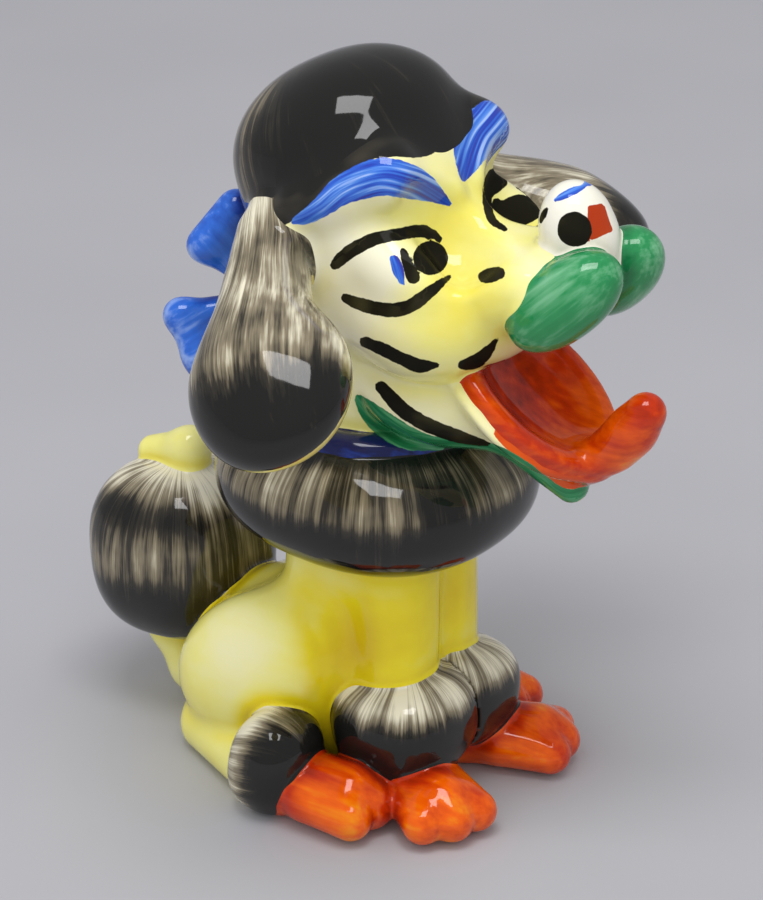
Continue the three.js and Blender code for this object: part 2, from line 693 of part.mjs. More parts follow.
function leftAndRight(name, group, material, form, cell) {
  const outside = surface(form, cell);
  pieces.push({ name: `${name}_left`, group, material, outside, cell });
  pieces.push({ name: `${name}_right`, group, material, outside: mirrored(outside), cell });
}

const pourHole = drill(vec(0, RUMP_BACK, 0), POUR_HOLE_DIAMETER, 4 * WALL);
const neckHole = drill(vec(0, 1, NECK_HEIGHT + 12), POUR_HOLE_DIAMETER, 8 * WALL);
const crownHole = drill(vec(0, skull.y + 8, skull.z + SKULL_HEIGHT / 2), VENT_DIAMETER, 6 * WALL);
const collarGapAt = vec(0, collarAt.y - COLLAR_DIAMETER / 2, collarAt.z);
const collarGap = drill(collarGapAt, 2 * COLLAR_THICKNESS, 2 * COLLAR_HEIGHT);
const mouthHole = solid(surface(bowlForm(RIM_THICKNESS * 0.6), 4));

piece("body", "seat", YELLOW, bodyForm(), 8.2, { hollow: trunkForm(), openings: [pourHole, neckHole] });
piece("mane", "seat", BLACK, maneForm(), 10.6, { hollow: maneForm() });
const headHollow = carve(4, craniumForm(), pair(socketForm()));
piece("head", "head", YELLOW, headForm(), 6.9, { hollow: headHollow, openings: [neckHole, crownHole] });
piece("tongue", "head", ORANGE, tongueForm(), 3.7);
piece("lower_jaw", "head", YELLOW, jawForm(), 6.2, { openings: [mouthHole] });
pieces.push({ name: "collar", group: "head", material: BLUE, outside: collarRing(), openings: [collarGap] });
piece("topknot", "head", BLACK, topknotForm(), 10, { hollow: topknotForm() });
leftAndRight("front_paw", "seat", ORANGE, frontPawForm(), 5.6);
leftAndRight("hind_paw", "seat", ORANGE, hindPawForm(), 6);
leftAndRight("front_cuff", "seat", BLACK, frontCuffForm(), 7.4);
leftAndRight("hind_cuff", "seat", BLACK, hindCuffForm(), 7.2);
piece("tail_stem", "tail", YELLOW, tailStemForm(), 5.8);
piece("tail_pompom", "tail", BLACK, pompomForm(), 10, { hollow: pompomForm(), wall: POMPOM_WALL });
piece("tail_tip", "tail", YELLOW, tailTipForm(), 4.2);
leftAndRight("ear", "head", BLACK, earForm(), 7.8);
piece("nose", "head", WHITE, noseForm(), 5);
leftAndRight("lip", "head", GREEN, lipForm(), 5.2);
piece("bow_knot", "bow", BLUE, ball(bowKnot, BOW_KNOT_DIAMETER), 4.8);
leftAndRight("bow_loop", "bow", BLUE, bowLoopForm(), 4.8);
leftAndRight("bow_tail", "bow", BLUE, bowTailForm(), 4.8);

const figurine = new THREE.Group();
const groups = { seat: vec(0, 0, 0), head: skull, tail: pompomAt, bow: bowKnot };
for (const [name, at] of Object.entries(groups)) {
  const group = new THREE.Group();
  group.name = `${name}_group`;
  group.position.copy(at);
  figurine.add(group);
  groups[name] = group;
}

// A piece hollowed, opened and cut to seat on the earlier pieces that it meets.
function cutToSeat({ outside, cell, hollow, wall = WALL, openings = [] }, earlier, gap) {
  const tools = [...openings, ground, ...earlier.map((other) => seatTool(other.outside, gap))];
  if (hollow) tools.push(solid(surface(cavity(hollow, wall), cell * CAVITY_COARSENESS)));
  return tools.reduce((rest, tool) => rest.subtract(tool), solid(outside));
}

const boxOf = ({ outside }) => new THREE.Box3().setFromBufferAttribute(outside.attributes.position);

pieces.forEach((made, place) => {
  const earlier = pieces.slice(0, place).filter((other) => boxOf(other).intersectsBox(boxOf(made)));
  const holder = groups[made.group];
  const geometry = finished(made.name, (gap) => cutToSeat(made, earlier, gap));
  const { x, y, z } = holder.position;
  const mesh = new THREE.Mesh(geometry.translate(-x, -y, -z), made.material);
  mesh.name = made.name;
  holder.add(mesh);
});

export default figurine;
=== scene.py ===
"""A seated poodle figurine in glazed earthenware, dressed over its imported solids.

The clay forms are fields in millimetres, negative inside, placed and sized as the solids are, but
with softer hollows, brows and ears. They are joined with fillets, as slip and glaze join them, drawn
as one fine surface, and cut apart again along the seams, so that each piece of the frame has its own
mesh. The brush strokes are lines of pixels in the photograph, laid on the surface along the camera's
rays.
"""
import math

import bpy
import numpy as np
from mathutils import Matrix, Vector


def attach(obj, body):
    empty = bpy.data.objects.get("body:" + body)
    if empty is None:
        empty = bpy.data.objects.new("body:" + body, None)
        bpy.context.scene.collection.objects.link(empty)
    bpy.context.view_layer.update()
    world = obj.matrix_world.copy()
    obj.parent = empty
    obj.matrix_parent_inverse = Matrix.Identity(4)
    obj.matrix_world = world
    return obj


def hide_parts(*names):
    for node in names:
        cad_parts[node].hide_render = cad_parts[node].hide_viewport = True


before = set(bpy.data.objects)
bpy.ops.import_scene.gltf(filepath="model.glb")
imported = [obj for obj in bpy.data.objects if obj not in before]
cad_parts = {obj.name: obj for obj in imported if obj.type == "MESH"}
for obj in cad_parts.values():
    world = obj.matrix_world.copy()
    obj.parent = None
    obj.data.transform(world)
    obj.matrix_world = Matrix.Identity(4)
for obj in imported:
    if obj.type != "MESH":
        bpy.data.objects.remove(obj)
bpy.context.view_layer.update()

MM = 0.001

# Camera: turned round the figure, in degrees and millimetres, for an image of 763 by 900 pixels
IMAGE_WIDTH = 763
IMAGE_HEIGHT = 900
CAMERA_AZIMUTH = -55
CAMERA_ELEVATION = 25
CAMERA_DISTANCE = 900
CAMERA_TARGET = np.array([0.0, 0.0, 88.0])
PIXELS_PER_MM = 4.0
SENSOR = 36

# How the surface is drawn, in millimetres. A block is so many cells long, and only the blocks in a
# band round the surface are drawn. A form is reckoned within the cull margin of its box, and counts
# as far beyond it. The surface lies a little inside that of the solids.
CELL = 1.0
BLOCK = 4
BAND = 3.5
FAR = 60.0
CULL = 14.0
INSET = 0.3

IDENTITY = np.eye(3)


class Form:
    """A field, negative inside, with the box it lies in."""

    def __init__(self, distance, low, high):
        self.distance = distance
        self.low = np.array(low, float)
        self.high = np.array(high, float)

    def near(self, points, margin):
        inside = (points > self.low - margin) & (points < self.high + margin)
        return inside.all(axis=1)


def unit(direction):
    direction = np.array(direction, float)
    return direction / np.linalg.norm(direction)


def pitch(degrees):
    """A turn about the dog's left-to-right axis; a negative angle lifts the front."""
    c = math.cos(math.radians(degrees))
    s = math.sin(math.radians(degrees))
    return np.array([[1, 0, 0], [0, c, -s], [0, s, c]])


def roll(degrees):
    """A turn about the dog's back-to-front axis."""
    c = math.cos(math.radians(degrees))
    s = math.sin(math.radians(degrees))
    return np.array([[c, 0, s], [0, 1, 0], [-s, 0, c]])


def aim(direction, towards):
    """A turn that points local Z along a direction, with local Y as near as can be to another."""
    z = unit(direction)
    x = unit(np.cross(towards, z))
    return np.column_stack([x, np.cross(z, x), z])


def egg(at, size, turn=IDENTITY, power=2.0):
    """An egg, or with a higher power a fuller barrel, of the given full size."""
    at = np.array(at, float)
    radii = np.array(size, float) / 2
    reach = np.abs(turn) @ radii

    def distance(points):
        local = np.maximum(np.abs((points - at) @ turn) / radii, 1e-6)
        level = (local**power).sum(axis=1) ** (1 / power)
        slope = np.linalg.norm(local ** (power - 1) / radii, axis=1) * level ** (1 - power)
        return (level - 1) / slope

    return Form(distance, at - reach, at + reach)


def taper(start, end, start_diameter, end_diameter):
    """A tapered limb with round ends."""
    start = np.array(start, float)
    end = np.array(end, float)
    ra = start_diameter / 2
    rb = end_diameter / 2
    length = max(np.linalg.norm(end - start), 1e-6)
    axis = (end - start) / length
    lean = min(max((ra - rb) / length, -0.99), 0.99)
    rise = math.sqrt(1 - lean * lean)
    reach = max(ra, rb)

    def distance(points):
        offset = points - start
        along = offset @ axis
        out = np.sqrt(np.maximum((offset * offset).sum(axis=1) - along * along, 0))
        slide = (along - out * lean / rise) / length
        side = out * rise + along * lean - ra
        first = np.hypot(along, out) - ra
        last = np.hypot(along - length, out) - rb
        return np.where(slide <= 0, first, np.where(slide >= 1, last, side))

    return Form(distance, np.minimum(start, end) - reach, np.maximum(start, end) + reach)


def join(near, far, fillet):
    """Two distances joined with a fillet of about the given radius."""
    h = np.maximum(fillet - np.abs(near - far), 0) / fillet
    return np.minimum(near, far) - h * h * fillet / 4


def soft(fillet, *forms):
    """Forms pressed together, with a fillet."""

    def distance(points):
        total = forms[0].distance(points)
        for form in forms[1:]:
            total = join(total, form.distance(points), fillet)
        return total

    low = np.min([form.low for form in forms], axis=0) - fillet / 4
    high = np.max([form.high for form in forms], axis=0) + fillet / 4
    return Form(distance, low, high)


def carve(fillet, form, tool):
    """A form with another carved out of it, the edge rounded by the fillet."""

    def distance(points):
        return -join(-form.distance(points), tool.distance(points), fillet)

    return Form(distance, form.low, form.high)


def limb(fillet, points, diameters):
    """A limb through several points, each with its diameter."""
    ends = list(zip(points, diameters))
    return soft(fillet, *[taper(a, b, da, db) for (a, da), (b, db) in zip(ends, ends[1:])])


def flipped(points):
    return points * np.array([-1, 1, 1])


def pair(form):
    """The same form on both sides of the dog."""

    def distance(points):
        folded = points.copy()
        folded[:, 0] = np.abs(folded[:, 0])
        return form.distance(folded)

    low = form.low.copy()
    low[0] = -form.high[0]
    return Form(distance, low, form.high)


def twin(form):
    """The right-hand twin of a left-hand form."""
    low = np.array([-form.high[0], form.low[1], form.low[2]])
    high = np.array([-form.low[0], form.high[1], form.high[2]])
    return Form(lambda points: form.distance(flipped(points)), low, high)


def ring(at, diameter, thickness, height):
    """A band bent into a ring."""
    at = np.array(at, float)
    reach = np.array([diameter / 2 + thickness, diameter / 2 + thickness, height])

    def distance(points):
        offset = points - at
        across = np.hypot(offset[:, 0], offset[:, 1]) - diameter / 2
        return (np.hypot(across / thickness, offset[:, 2] / height) * 2 - 1) * thickness / 2

    return Form(distance, at - reach, at + reach)


# Clay forms, in the same places as the solids
SKULL = np.array([0.0, 1, 148])
SNOUT = np.array([0.0, -48, 146])
MOUTH = np.array([0.0, -46, 117.5])
MOUTH_SLOPE = pitch(38)
CHIN = MOUTH + (0, -10, -24)
LIP = np.array([11.5, -60, 146.5])
LIP_TURN = aim((-0.26, -0.69, 0.68), (0, 1, 1))
LOOP_ALONG = (13, 14.1, 22.9)
LOOP_ACROSS = (-8, -4.2, 8.8)
RIBBON_ALONG = (21.9, 14, -11.7)
RIBBON_ACROSS = (-1.8, 12.5, 18.6)
MANE = np.array([0.0, 1, 83])
TOPKNOT = np.array([0.0, 8.5, 166.5])
TOPKNOT_TURN = pitch(-28)
POMPOM = np.array([0.0, 64, 44])
BOW_KNOT = np.array([0.0, 27.5, 122])
FRONT_ANKLE = np.array([12.0, -16, 0])
HIND_ANKLE = np.array([35.0, 8, 0])
FRONT_CUFF = np.array([9.5, -14.2, 21])
HALF_CUFF_GAP = 0.15
HIND_CUFF = np.array([35.0, 8, 13])
HIND_CUFF_BRUSH = pitch(80)


def body_form():
    chest = egg((0, 1, 48), (46, 45, 104), power=2.4)
    rump = egg((0, 26, 21), (52, 56, 52))
    haunch = egg((22, 23, 29.5), (27, 52, 37), pitch(-35))
    shank = taper((20, 40, 6.5), (33, 13, 7), 17, 17)
    leg = taper((9.5, -11.5, 70), (11, -12.5, 15), 18, 17)
    stub = taper((0, 0, 64), (0, 0, 76), 38, 38)
    groove = taper((0, -23.5, 22), (0, -23.5, 66), 9, 9)
    hollow = egg((27, -1, 42), (16, 24, 52))
    trunk = carve(3, carve(7, soft(14, chest, rump), pair(hollow)), groove)
    seat = soft(10, trunk, pair(soft(3, haunch, shank)))
    return soft(4, seat, pair(leg), stub)


def scoop_form(width, length, depth, level):
    """A boat-shaped scoop, cut off level a little over its middle, in the slope of the open mouth."""
    up = MOUTH_SLOPE[:, 2]
    hull = egg(MOUTH, (width, length, 2 * depth), MOUTH_SLOPE)
    over = Form(lambda points: level - (points - MOUTH) @ up, hull.low, hull.high)
    return carve(2.5, hull, over)


def bowl_form(rim):
    """The hollow of the open mouth, which leaves the rim of the tongue standing all round."""
    at = MOUTH + 4 * MOUTH_SLOPE[:, 2]
    return egg(at, (41 - 2 * rim, 52 - 2 * rim, 2 * (15 - rim)), MOUTH_SLOPE)


def brow_form():
    return limb(4, [(29, 3, 161), (19.3, -15, 170), (6, -23, 164)], [10, 14, 6])


def head_form():
    crown = soft(8, egg(SKULL, (58, 56, 54), power=2.2), egg((0, -10, 163), (42, 26, 22)))
    muzzle = egg((0, -24, 139), (52, 46, 38), power=2.4)
    front = egg(SNOUT, (41, 27, 20), pitch(-18), 2.5)
    throat = taper((0, 2, 128), (0, 2, 92), 46, 38)
    cranium = soft(10, crown, soft(8, muzzle, front), throat)
    cheek = egg((18, -23, 134), (24, 36, 28))
    socket = egg((17.33, -32.5, 160), (24, 25, 27))
    eye = egg((22.5, -20.5, 149), (13, 24, 14), pitch(20))
    face = carve(4, soft(5, cranium, pair(cheek), pair(brow_form())), pair(socket))
    return soft(6, face, pair(eye))


def jaw_form():
    hull = scoop_form(48, 55.5, 12.2, -3)
    jowl = egg(MOUTH + (0, 26, -4), (48, 50, 31), pitch(8))
    keel = taper(MOUTH + (0, 10, -11), CHIN, 15.6, 9)
    return carve(1, soft(6, hull, jowl, keel), bowl_form(3))


def tongue_form():
    blade = carve(2.5, scoop_form(41, 52, 11, 1), bowl_form(5))
    steps = [(0, -15, -16.5), (0, -22, -10.5), (0, -26.5, -5), (0, -30, 0.5)]
    curl = limb(5, [MOUTH + step for step in steps], [9.5, 10, 10.5, 10.5])
    return soft(5, blade, curl)


def nose_form():
    knob = egg((0, -56, 159.5), (19, 19, 25), pitch(-15))
    return soft(6, knob, taper((0, -60, 156.5), (0, -61.5, 150.5), 9.5, 9.5))


def lip_form():
    return egg(LIP, (19, 19, 33), LIP_TURN, 2.1)


EAR_ROOT = np.array([28.0, 9.5, 152])
EAR_TURN = aim((0.77, -0.53, -0.46), (0.75, 0, 0.66))
EAR_FACE = EAR_TURN[:, 1]
EAR_ALONG = EAR_TURN[:, 2]


def ear_form():
    lobe_at = EAR_ROOT + EAR_ALONG * 47.6
    lobe = egg(lobe_at, (38, 24, 42.8), EAR_TURN, 2.1)
    return soft(10.5, lobe, taper(EAR_ROOT + (1, 2, 0), lobe_at + (-1, 6, 0), 18, 28.5))


def ribbon_form(along, across, length, width):
    """A ribbon end that fans out from the knot in three pleats to a straight folded edge."""
    fold = BOW_KNOT + unit(along) * (length - 4)
    upper = fold + unit(across) * width / 2
    lower = fold - unit(across) * width / 2
    pleats = [taper(BOW_KNOT, end, 8, 8) for end in (upper, fold, lower)]
    return soft(4, *pleats, taper(upper, lower, 8, 8))


def paw_form(ankle, heading, length, width, height):
    """An instep with three toes, set on the ground under an ankle."""
    turn = math.radians(heading)
    ahead = np.array([math.sin(turn), -math.cos(turn), 0])
    across = np.array([-ahead[1], ahead[0], 0])

    def place(along, side, lift):
        return ankle + ahead * along + across * side + (0, 0, lift)

    middle = height * 0.42
    instep = taper(place(0, 0, middle), place(length * 0.6, 0, middle), height, height * 0.95)
    toes = []
    for n in (-1, 0, 1):
        knuckle = place(length * 0.35, n * width / 4, height * 0.4)
        tip = place(length * (0.8 - 0.06 * abs(n)), n * width / 3.2, height * 0.34)
        toes.append(taper(knuckle, tip, height * 0.6, height * 0.62))
    return soft(4, instep, soft(1.5, *toes))


def front_cuff_form():
    lobe = egg(FRONT_CUFF, (37, 34.5, 29), roll(10), 2.6)

    def distance(points):
        return np.maximum(lobe.distance(points), HALF_CUFF_GAP - points[:, 0])

    return Form(distance, lobe.low, lobe.high)


def tail_stem_form():
    points = [(0, 42, 9), (0, 60, 9), (0, 67, 19.5), (0, 64, 34)]
    return limb(5, points, [14, 14, 14, 14])


def tail_tip_form():
    return limb(4, [(0, 61, 65.5), (0, 61, 72.5), (0, 73, 68.5)], [10.5, 10.5, 8.9])


# Each piece: its name, its glaze, its form and the fillet of its seam
PIECES = []


def piece(name, glaze, form, fillet):
    PIECES.append((name, glaze, form, fillet))


def left_and_right(name, glaze, form, fillet):
    piece(name + "_left", glaze, form, fillet)
    piece(name + "_right", glaze, twin(form), fillet)


piece("body", "yellow", body_form(), 1)
piece("mane", "black", egg(MANE, (79, 79, 40), pitch(4), 2.3), 2.5)
piece("head", "yellow", head_form(), 3)
piece("tongue", "orange", tongue_form(), 1.2)
piece("lower_jaw", "yellow", jaw_form(), 3)
piece("collar", "blue", ring((0, 2, 98.5), 46, 9.7, 7.6), 1)
piece("topknot", "black", egg(TOPKNOT, (58, 57, 48), TOPKNOT_TURN, 2.2), 8)
left_and_right("front_paw", "orange", paw_form(FRONT_ANKLE, 29, 33, 24, 18), 2)
left_and_right("hind_paw", "orange", paw_form(HIND_ANKLE, -8, 34, 25, 19), 2)
left_and_right("front_cuff", "black", front_cuff_form(), 1.6)
left_and_right("hind_cuff", "black", egg(HIND_CUFF, (26, 22, 28), pitch(10), 2.4), 1.6)
piece("tail_stem", "yellow", tail_stem_form(), 3)
piece("tail_pompom", "black", egg(POMPOM, (46, 46, 49), pitch(-4), 2.6), 2)
piece("tail_tip", "yellow", tail_tip_form(), 2)
left_and_right("ear", "black", ear_form(), 5)
piece("nose", "white", nose_form(), 3)
left_and_right("lip", "green", lip_form(), 1.6)
piece("bow_knot", "blue", egg(BOW_KNOT, (16, 16, 16)), 1.5)
left_and_right("bow_loop", "blue", ribbon_form(LOOP_ALONG, LOOP_ACROSS, 31, 12), 1.2)
left_and_right("bow_tail", "blue", ribbon_form(RIBBON_ALONG, RIBBON_ACROSS, 31, 22), 1.2)

POUR_HOLE = np.array([0.0, 26, 0])
POUR_HOLE_RADIUS = 9
POUR_HOLE_DEPTH = 14


def figure(points):
    """The whole figure: every form joined to the ones before it, cut flat at the ground."""
    total = np.full(len(points), FAR)
    for _, _, form, fillet in PIECES:
        near = form.near(points, CULL)
        if near.any():
            total[near] = join(total[near], form.distance(points[near]), fillet)
    total = -join(-total - INSET, points[:, 2], 1.0)
    across = np.hypot(points[:, 0] - POUR_HOLE[0], points[:, 1] - POUR_HOLE[1]) - POUR_HOLE_RADIUS
    hole = np.maximum(across, points[:, 2] - POUR_HOLE_DEPTH)
    return -join(-total, hole, 1.0)


def slope(points, step=0.05):
    """The field's gradient."""
    columns = []
    for axis in np.eye(3) * step:
        columns.append((figure(points + axis) - figure(points - axis)) / (2 * step))
    return np.column_stack(columns)


def settled(points, passes=3):
    """Points moved onto the surface, along the field's slope."""
    for _ in range(passes):
        gradient = slope(points)
        steepness = np.maximum((gradient * gradient).sum(axis=1), 0.05)
        step = gradient * (-figure(points) / steepness)[:, None]
        points = points + np.clip(step, -CELL / 2, CELL / 2)
    return points


CORNERS = np.array([(n & 1, (n >> 1) & 1, n >> 2) for n in range(8)])
PAIRS = [(a, b) for a in range(8) for b in range(a + 1, 8)]
EDGES = [(a, b) for a, b in PAIRS if np.abs(CORNERS[a] - CORNERS[b]).sum() == 1]


def grid_points(counts):
    axes = [np.arange(n) for n in counts]
    return np.stack(np.meshgrid(*axes, indexing="ij"), axis=-1).reshape(-1, 3)


def drawn():
    """The figure's surface as points and quads: one point in each cell that it crosses."""
    low = np.min([form.low for _, _, form, _ in PIECES], axis=0) - 2 * BLOCK * CELL
    high = np.max([form.high for _, _, form, _ in PIECES], axis=0) + 2 * BLOCK * CELL
    size = BLOCK * CELL
    counts = np.ceil((high - low) / size).astype(int)
    blocks = grid_points(counts)
    middle = figure(low + (blocks + 0.5) * size)
    blocks = blocks[np.abs(middle) < size * 0.87 + BAND] * BLOCK
    local = grid_points((BLOCK + 1,) * 3)
    places = (blocks[:, None, :] + local[None, :, :]).reshape(-1, 3)
    values = figure(low + places * CELL).reshape((-1,) + (BLOCK + 1,) * 3)

    def shifted(offset):
        return values[(slice(None),) + tuple(slice(o, o + BLOCK) for o in offset)]

    corners = [shifted(c) for c in CORNERS]
    sums = np.zeros(corners[0].shape + (3,))
    number = np.zeros(corners[0].shape)
    for a, b in EDGES:
        crossed = (corners[a] < 0) != (corners[b] < 0)
        share = np.where(crossed, corners[a] / np.where(crossed, corners[a] - corners[b], 1), 0)
        at = CORNERS[a] + share[..., None] * (CORNERS[b] - CORNERS[a])
        sums += np.where(crossed[..., None], at, 0)
        number += crossed
    active = number > 0
    every_cell = (blocks[:, None, :] + grid_points((BLOCK,) * 3)[None, :, :]).reshape(-1, 3)
    cells = every_cell[active.ravel()]
    inside_cell = sums[active] / number[active][:, None]
    points = low + (cells + inside_cell) * CELL

    spans = counts * BLOCK + 2
    strides = np.array([spans[1] * spans[2], spans[2], 1])
    keys = cells @ strides
    order = np.argsort(keys)
    sorted_keys = keys[order]

    quads = []
    here = shifted((0, 0, 0))
    for axis in range(3):
        step = np.eye(3, dtype=int)[axis]
        crossed = (here < 0) != (shifted(step) < 0)
        owner = every_cell[crossed.ravel()]
        rising = here[crossed] < 0
        u = np.eye(3, dtype=int)[(axis + 1) % 3]
        v = np.eye(3, dtype=int)[(axis + 2) % 3]
        ring_cells = [owner, owner - u, owner - u - v, owner - v]
        corner_ids = [order[np.searchsorted(sorted_keys, cell @ strides)] for cell in ring_cells]
        quad = np.column_stack(corner_ids)
        quad[~rising] = quad[~rising][:, ::-1]
        quads.append(quad)
    return settled(points), np.concatenate(quads)


def wobble(points, scale, seed):
    """A smooth, repeatable unevenness between -1 and 1, from a few waves."""
    waves = np.random.default_rng(seed)
    total = np.zeros(len(points))
    for _ in range(5):
        direction = waves.normal(size=3)
        total += np.sin(points @ direction / scale + waves.uniform(0, 2 * math.pi))
    return total / 5


def piece_distances(points):
    """How far each point is from each piece, with the seams a little uneven, as brushed glaze is."""
    table = np.full((len(points), len(PIECES)), FAR)
    for column, (_, _, form, _) in enumerate(PIECES):
        near = form.near(points, CULL)
        if near.any():
            uneven = 0.5 * wobble(points[near], 2.5, column)
            table[near, column] = form.distance(points[near]) + uneven
    return table


def cut_apart(points, quads):
    """The surface cut along the seams: points, and for each piece its triangles and quads."""
    table = piece_distances(points)
    label = table.argmin(axis=1)
    whole = (label[quads] == label[quads[:, :1]]).all(axis=1)
    faces = {column: [quads[whole & (label[quads[:, 0]] == column)]] for column in range(len(PIECES))}
    shared = quads[~whole]
    triangles = np.concatenate([shared[:, [0, 1, 2]], shared[:, [0, 2, 3]]])
    cuts = {}
    added = []

    def cut(a, b):
        key = (min(a, b), max(a, b))
        if key not in cuts:
            a, b = key
            ga = table[a, label[a]] - table[a, label[b]]
            gb = table[b, label[a]] - table[b, label[b]]
            share = min(max(ga / (ga - gb), 0.02), 0.98)
            cuts[key] = len(points) + len(added)
            added.append(points[a] + share * (points[b] - points[a]))
        return cuts[key]

    small = {column: [] for column in range(len(PIECES))}
    for triangle in triangles.tolist():
        names = [label[n] for n in triangle]
        if names[0] == names[1] == names[2]:
            small[names[0]].append(triangle)
            continue
        odd = [n for n in range(3) if names.count(names[n]) == 1]
        if len(odd) == 1:
            a, b, c = (triangle[(odd[0] + n) % 3] for n in range(3))
            ab = cut(a, b)
            ac = cut(a, c)
            small[label[a]].append([a, ab, ac])
            small[label[b]].append([ab, b, c])
            small[label[b]].append([ab, c, ac])
        else:
            centre = len(points) + len(added)
            added.append(points[triangle].mean(axis=0))
            for n in range(3):
                a, b, c = (triangle[(n + k) % 3] for k in range(3))
                small[label[a]].append([a, cut(a, b), centre])
                small[label[a]].append([a, centre, cut(a, c)])
    points = np.concatenate([points, settled(np.array(added), 2)])
    for column, tiny in small.items():
        faces[column].append(np.array(tiny, int).reshape(-1, 3))
    return points, faces


# The camera's axes, for the rays through the photograph's pixels
turn_z = math.radians(CAMERA_AZIMUTH)
lift = math.radians(CAMERA_ELEVATION)
BACK = np.array([math.sin(turn_z) * math.cos(lift), -math.cos(turn_z) * math.cos(lift), math.sin(lift)])
RIGHT = np.array([math.cos(turn_z), math.sin(turn_z), 0])
UP = np.cross(BACK, RIGHT)
EYE = CAMERA_TARGET + BACK * CAMERA_DISTANCE
FOCAL_PIXELS = PIXELS_PER_MM * CAMERA_DISTANCE

# A ray starts this far before the target, in millimetres, and takes so many steps to the surface
RAY_START = 160.0
RAY_STEPS = 160
# How much a surface has to face the camera for a stroke to reach it
GRAZING = 0.03


def on_surface(pixels):
    """The points of the figure that show at these pixels of the photograph."""
    pixels = np.array(pixels, float)
    across = (pixels[:, 0] - IMAGE_WIDTH / 2) / FOCAL_PIXELS
    above = (IMAGE_HEIGHT / 2 - pixels[:, 1]) / FOCAL_PIXELS
    rays = across[:, None] * RIGHT + above[:, None] * UP - BACK
    rays /= np.linalg.norm(rays, axis=1)[:, None]
    far = np.full(len(pixels), CAMERA_DISTANCE - RAY_START)
    for _ in range(RAY_STEPS):
        far += np.clip(figure(EYE + far[:, None] * rays) * 0.7, -2, 4)
    return EYE + far[:, None] * rays


# Brush strokes: pixels of the photograph, each with the stroke's width there in pixels
INK = {
    "upper lash": [
        (335, 265, 10), (341, 259, 13), (354, 249, 14), (375, 239, 13),
        (400, 234, 12), (420, 231, 13), (432, 234, 10), (440, 239, 5),
    ],
    "pupil": [(430, 258, 34), (431, 258, 34)],
    "tear": [(403, 251, 7), (406, 260, 9), (413, 277, 14)],
    "lower lid": [
        (345, 298, 9), (360, 304, 13), (388, 310, 14), (410, 306, 14), (430, 292, 12), (449, 277, 5),
    ],
    "muzzle dot": [(484, 277, 12), (491, 275, 15), (499, 273, 12)],
    "cheek": [(365, 342, 11), (384, 350, 13), (404, 360, 13), (420, 366, 14), (437, 365, 5)],
    "mouth corner": [(463, 365, 10), (477, 361, 14), (489, 350, 10), (497, 339, 3)],
    "jaw": [
        (381, 387, 12), (395, 402, 15), (407, 413, 15), (430, 426, 15), (460, 437, 13), (488, 444, 5),
    ],
    "nostril": [(574, 229, 34), (575, 230, 34)],
    "nose side": [(541, 221, 4), (544, 214, 6), (547, 208, 3)],
}
AZURE = {
    "brow": [
        (294, 221, 6), (306, 217, 15), (320, 208, 20), (345, 189, 30),
        (380, 177, 38), (410, 182, 34), (430, 191, 22), (450, 204, 4),
    ],
    "eye drop": [(394, 259, 9), (398, 270, 11), (403, 285, 4)],
    "nose crown": [(555, 200, 4), (569, 193, 8), (583, 187, 5)],
}
LEAF = {
    "jaw band": [
        (359, 399, 9), (371, 413, 21), (388, 427, 25), (408, 438, 23), (432, 443, 15), (474, 446, 9),
    ],
    "jaw edge": [
        (474, 446, 9), (492, 449, 11), (519, 463, 12), (540, 479, 12),
        (557, 492, 14), (571, 496, 14), (588, 490, 9),
    ],
}
CORAL = {
    "tongue rim": [
        (494, 431, 4), (503, 440, 8), (519, 452, 11), (540, 468, 11),
        (560, 480, 14), (580, 482, 14), (596, 477, 9),
    ],
}
SOOT = {
    "hairline": [
        (262, 228, 18), (279, 209, 34), (305, 187, 42), (336, 158, 44),
        (362, 142, 40), (392, 139, 36), (425, 143, 26), (446, 127, 18),
    ],
}

# Strokes and a patch that are on one side only
FAR_INK = {
    "far lash": [
        (499, 169, 7), (491, 176, 10), (487, 192, 9), (488, 208, 9), (493, 221, 8), (505, 229, 5),
    ],
    "far pupil": [(497, 203, 10), (504, 217, 14)],
}
FAR_AZURE = {
    "far brow": [(490, 118, 36), (478, 133, 44), (471, 150, 34), (467, 166, 20), (463, 181, 3)],
}
NOSE_PATCH = [(588, 206), (604, 203), (613, 231), (588, 242)]
NOSE_PATCH_REACH = 12

# Places where the glaze lies thicker or thinner, pixels of the photograph. The haunch crown is a
# painted highlight and the back of the cheek partly one; the leg side and the tongue tip are painted
# shade, the flank hollow partly so.
FLANK_HOLLOW = (352, 645)
# painted highlight on the haunch's crown
HAUNCH_HIGHLIGHT = (240, 640)
# painted shade on the leg's side
LEG_SIDE_SHADE = (430, 615)
MUZZLE_SIDE = (470, 310)
BROW_GAP = (455, 225)
EYE_WHITE = (375, 272)
TEMPLE = (330, 255)
# partly a painted highlight on the back of the cheek
CHEEK_BACK = (340, 315)
MANE_FRONT = (447, 505)
POMPOM_SHOULDER = (125, 503)
POMPOM_INNER = (182, 505)
POMPOM_MIDDLE = (155, 550)
POMPOM_OUTER = (108, 570)
EAR_EDGE = (308, 255)
# painted shade on the tongue's tip
TONGUE_TIP_SHADE = (648, 412)


def eased(line, steps=14):
    """A stroke's pixels and widths with a smooth curve run through them."""
    line = np.array(line, float)
    ends = np.vstack([2 * line[0] - line[1], line, 2 * line[-1] - line[-2]])
    share = np.linspace(0, 1, steps, endpoint=False)[:, None]
    curve = []
    for before, start, end, after in zip(ends, ends[1:], ends[2:], ends[3:]):
        cubic = 3 * (start - end) + after - before
        square = 2 * before - 5 * start + 4 * end - after
        curve.append(start + share / 2 * (end - before + share * (square + share * cubic)))
    curve.append(line[-1:])
    return np.concatenate(curve)


def seen_at(points):
    """The pixels of the photograph that points show at."""
    offset = points - CAMERA_TARGET
    scale = FOCAL_PIXELS / (CAMERA_DISTANCE - offset @ BACK)
    across = IMAGE_WIDTH / 2 + scale * (offset @ RIGHT)
    down = IMAGE_HEIGHT / 2 - scale * (offset @ UP)
    return np.column_stack([across, down])


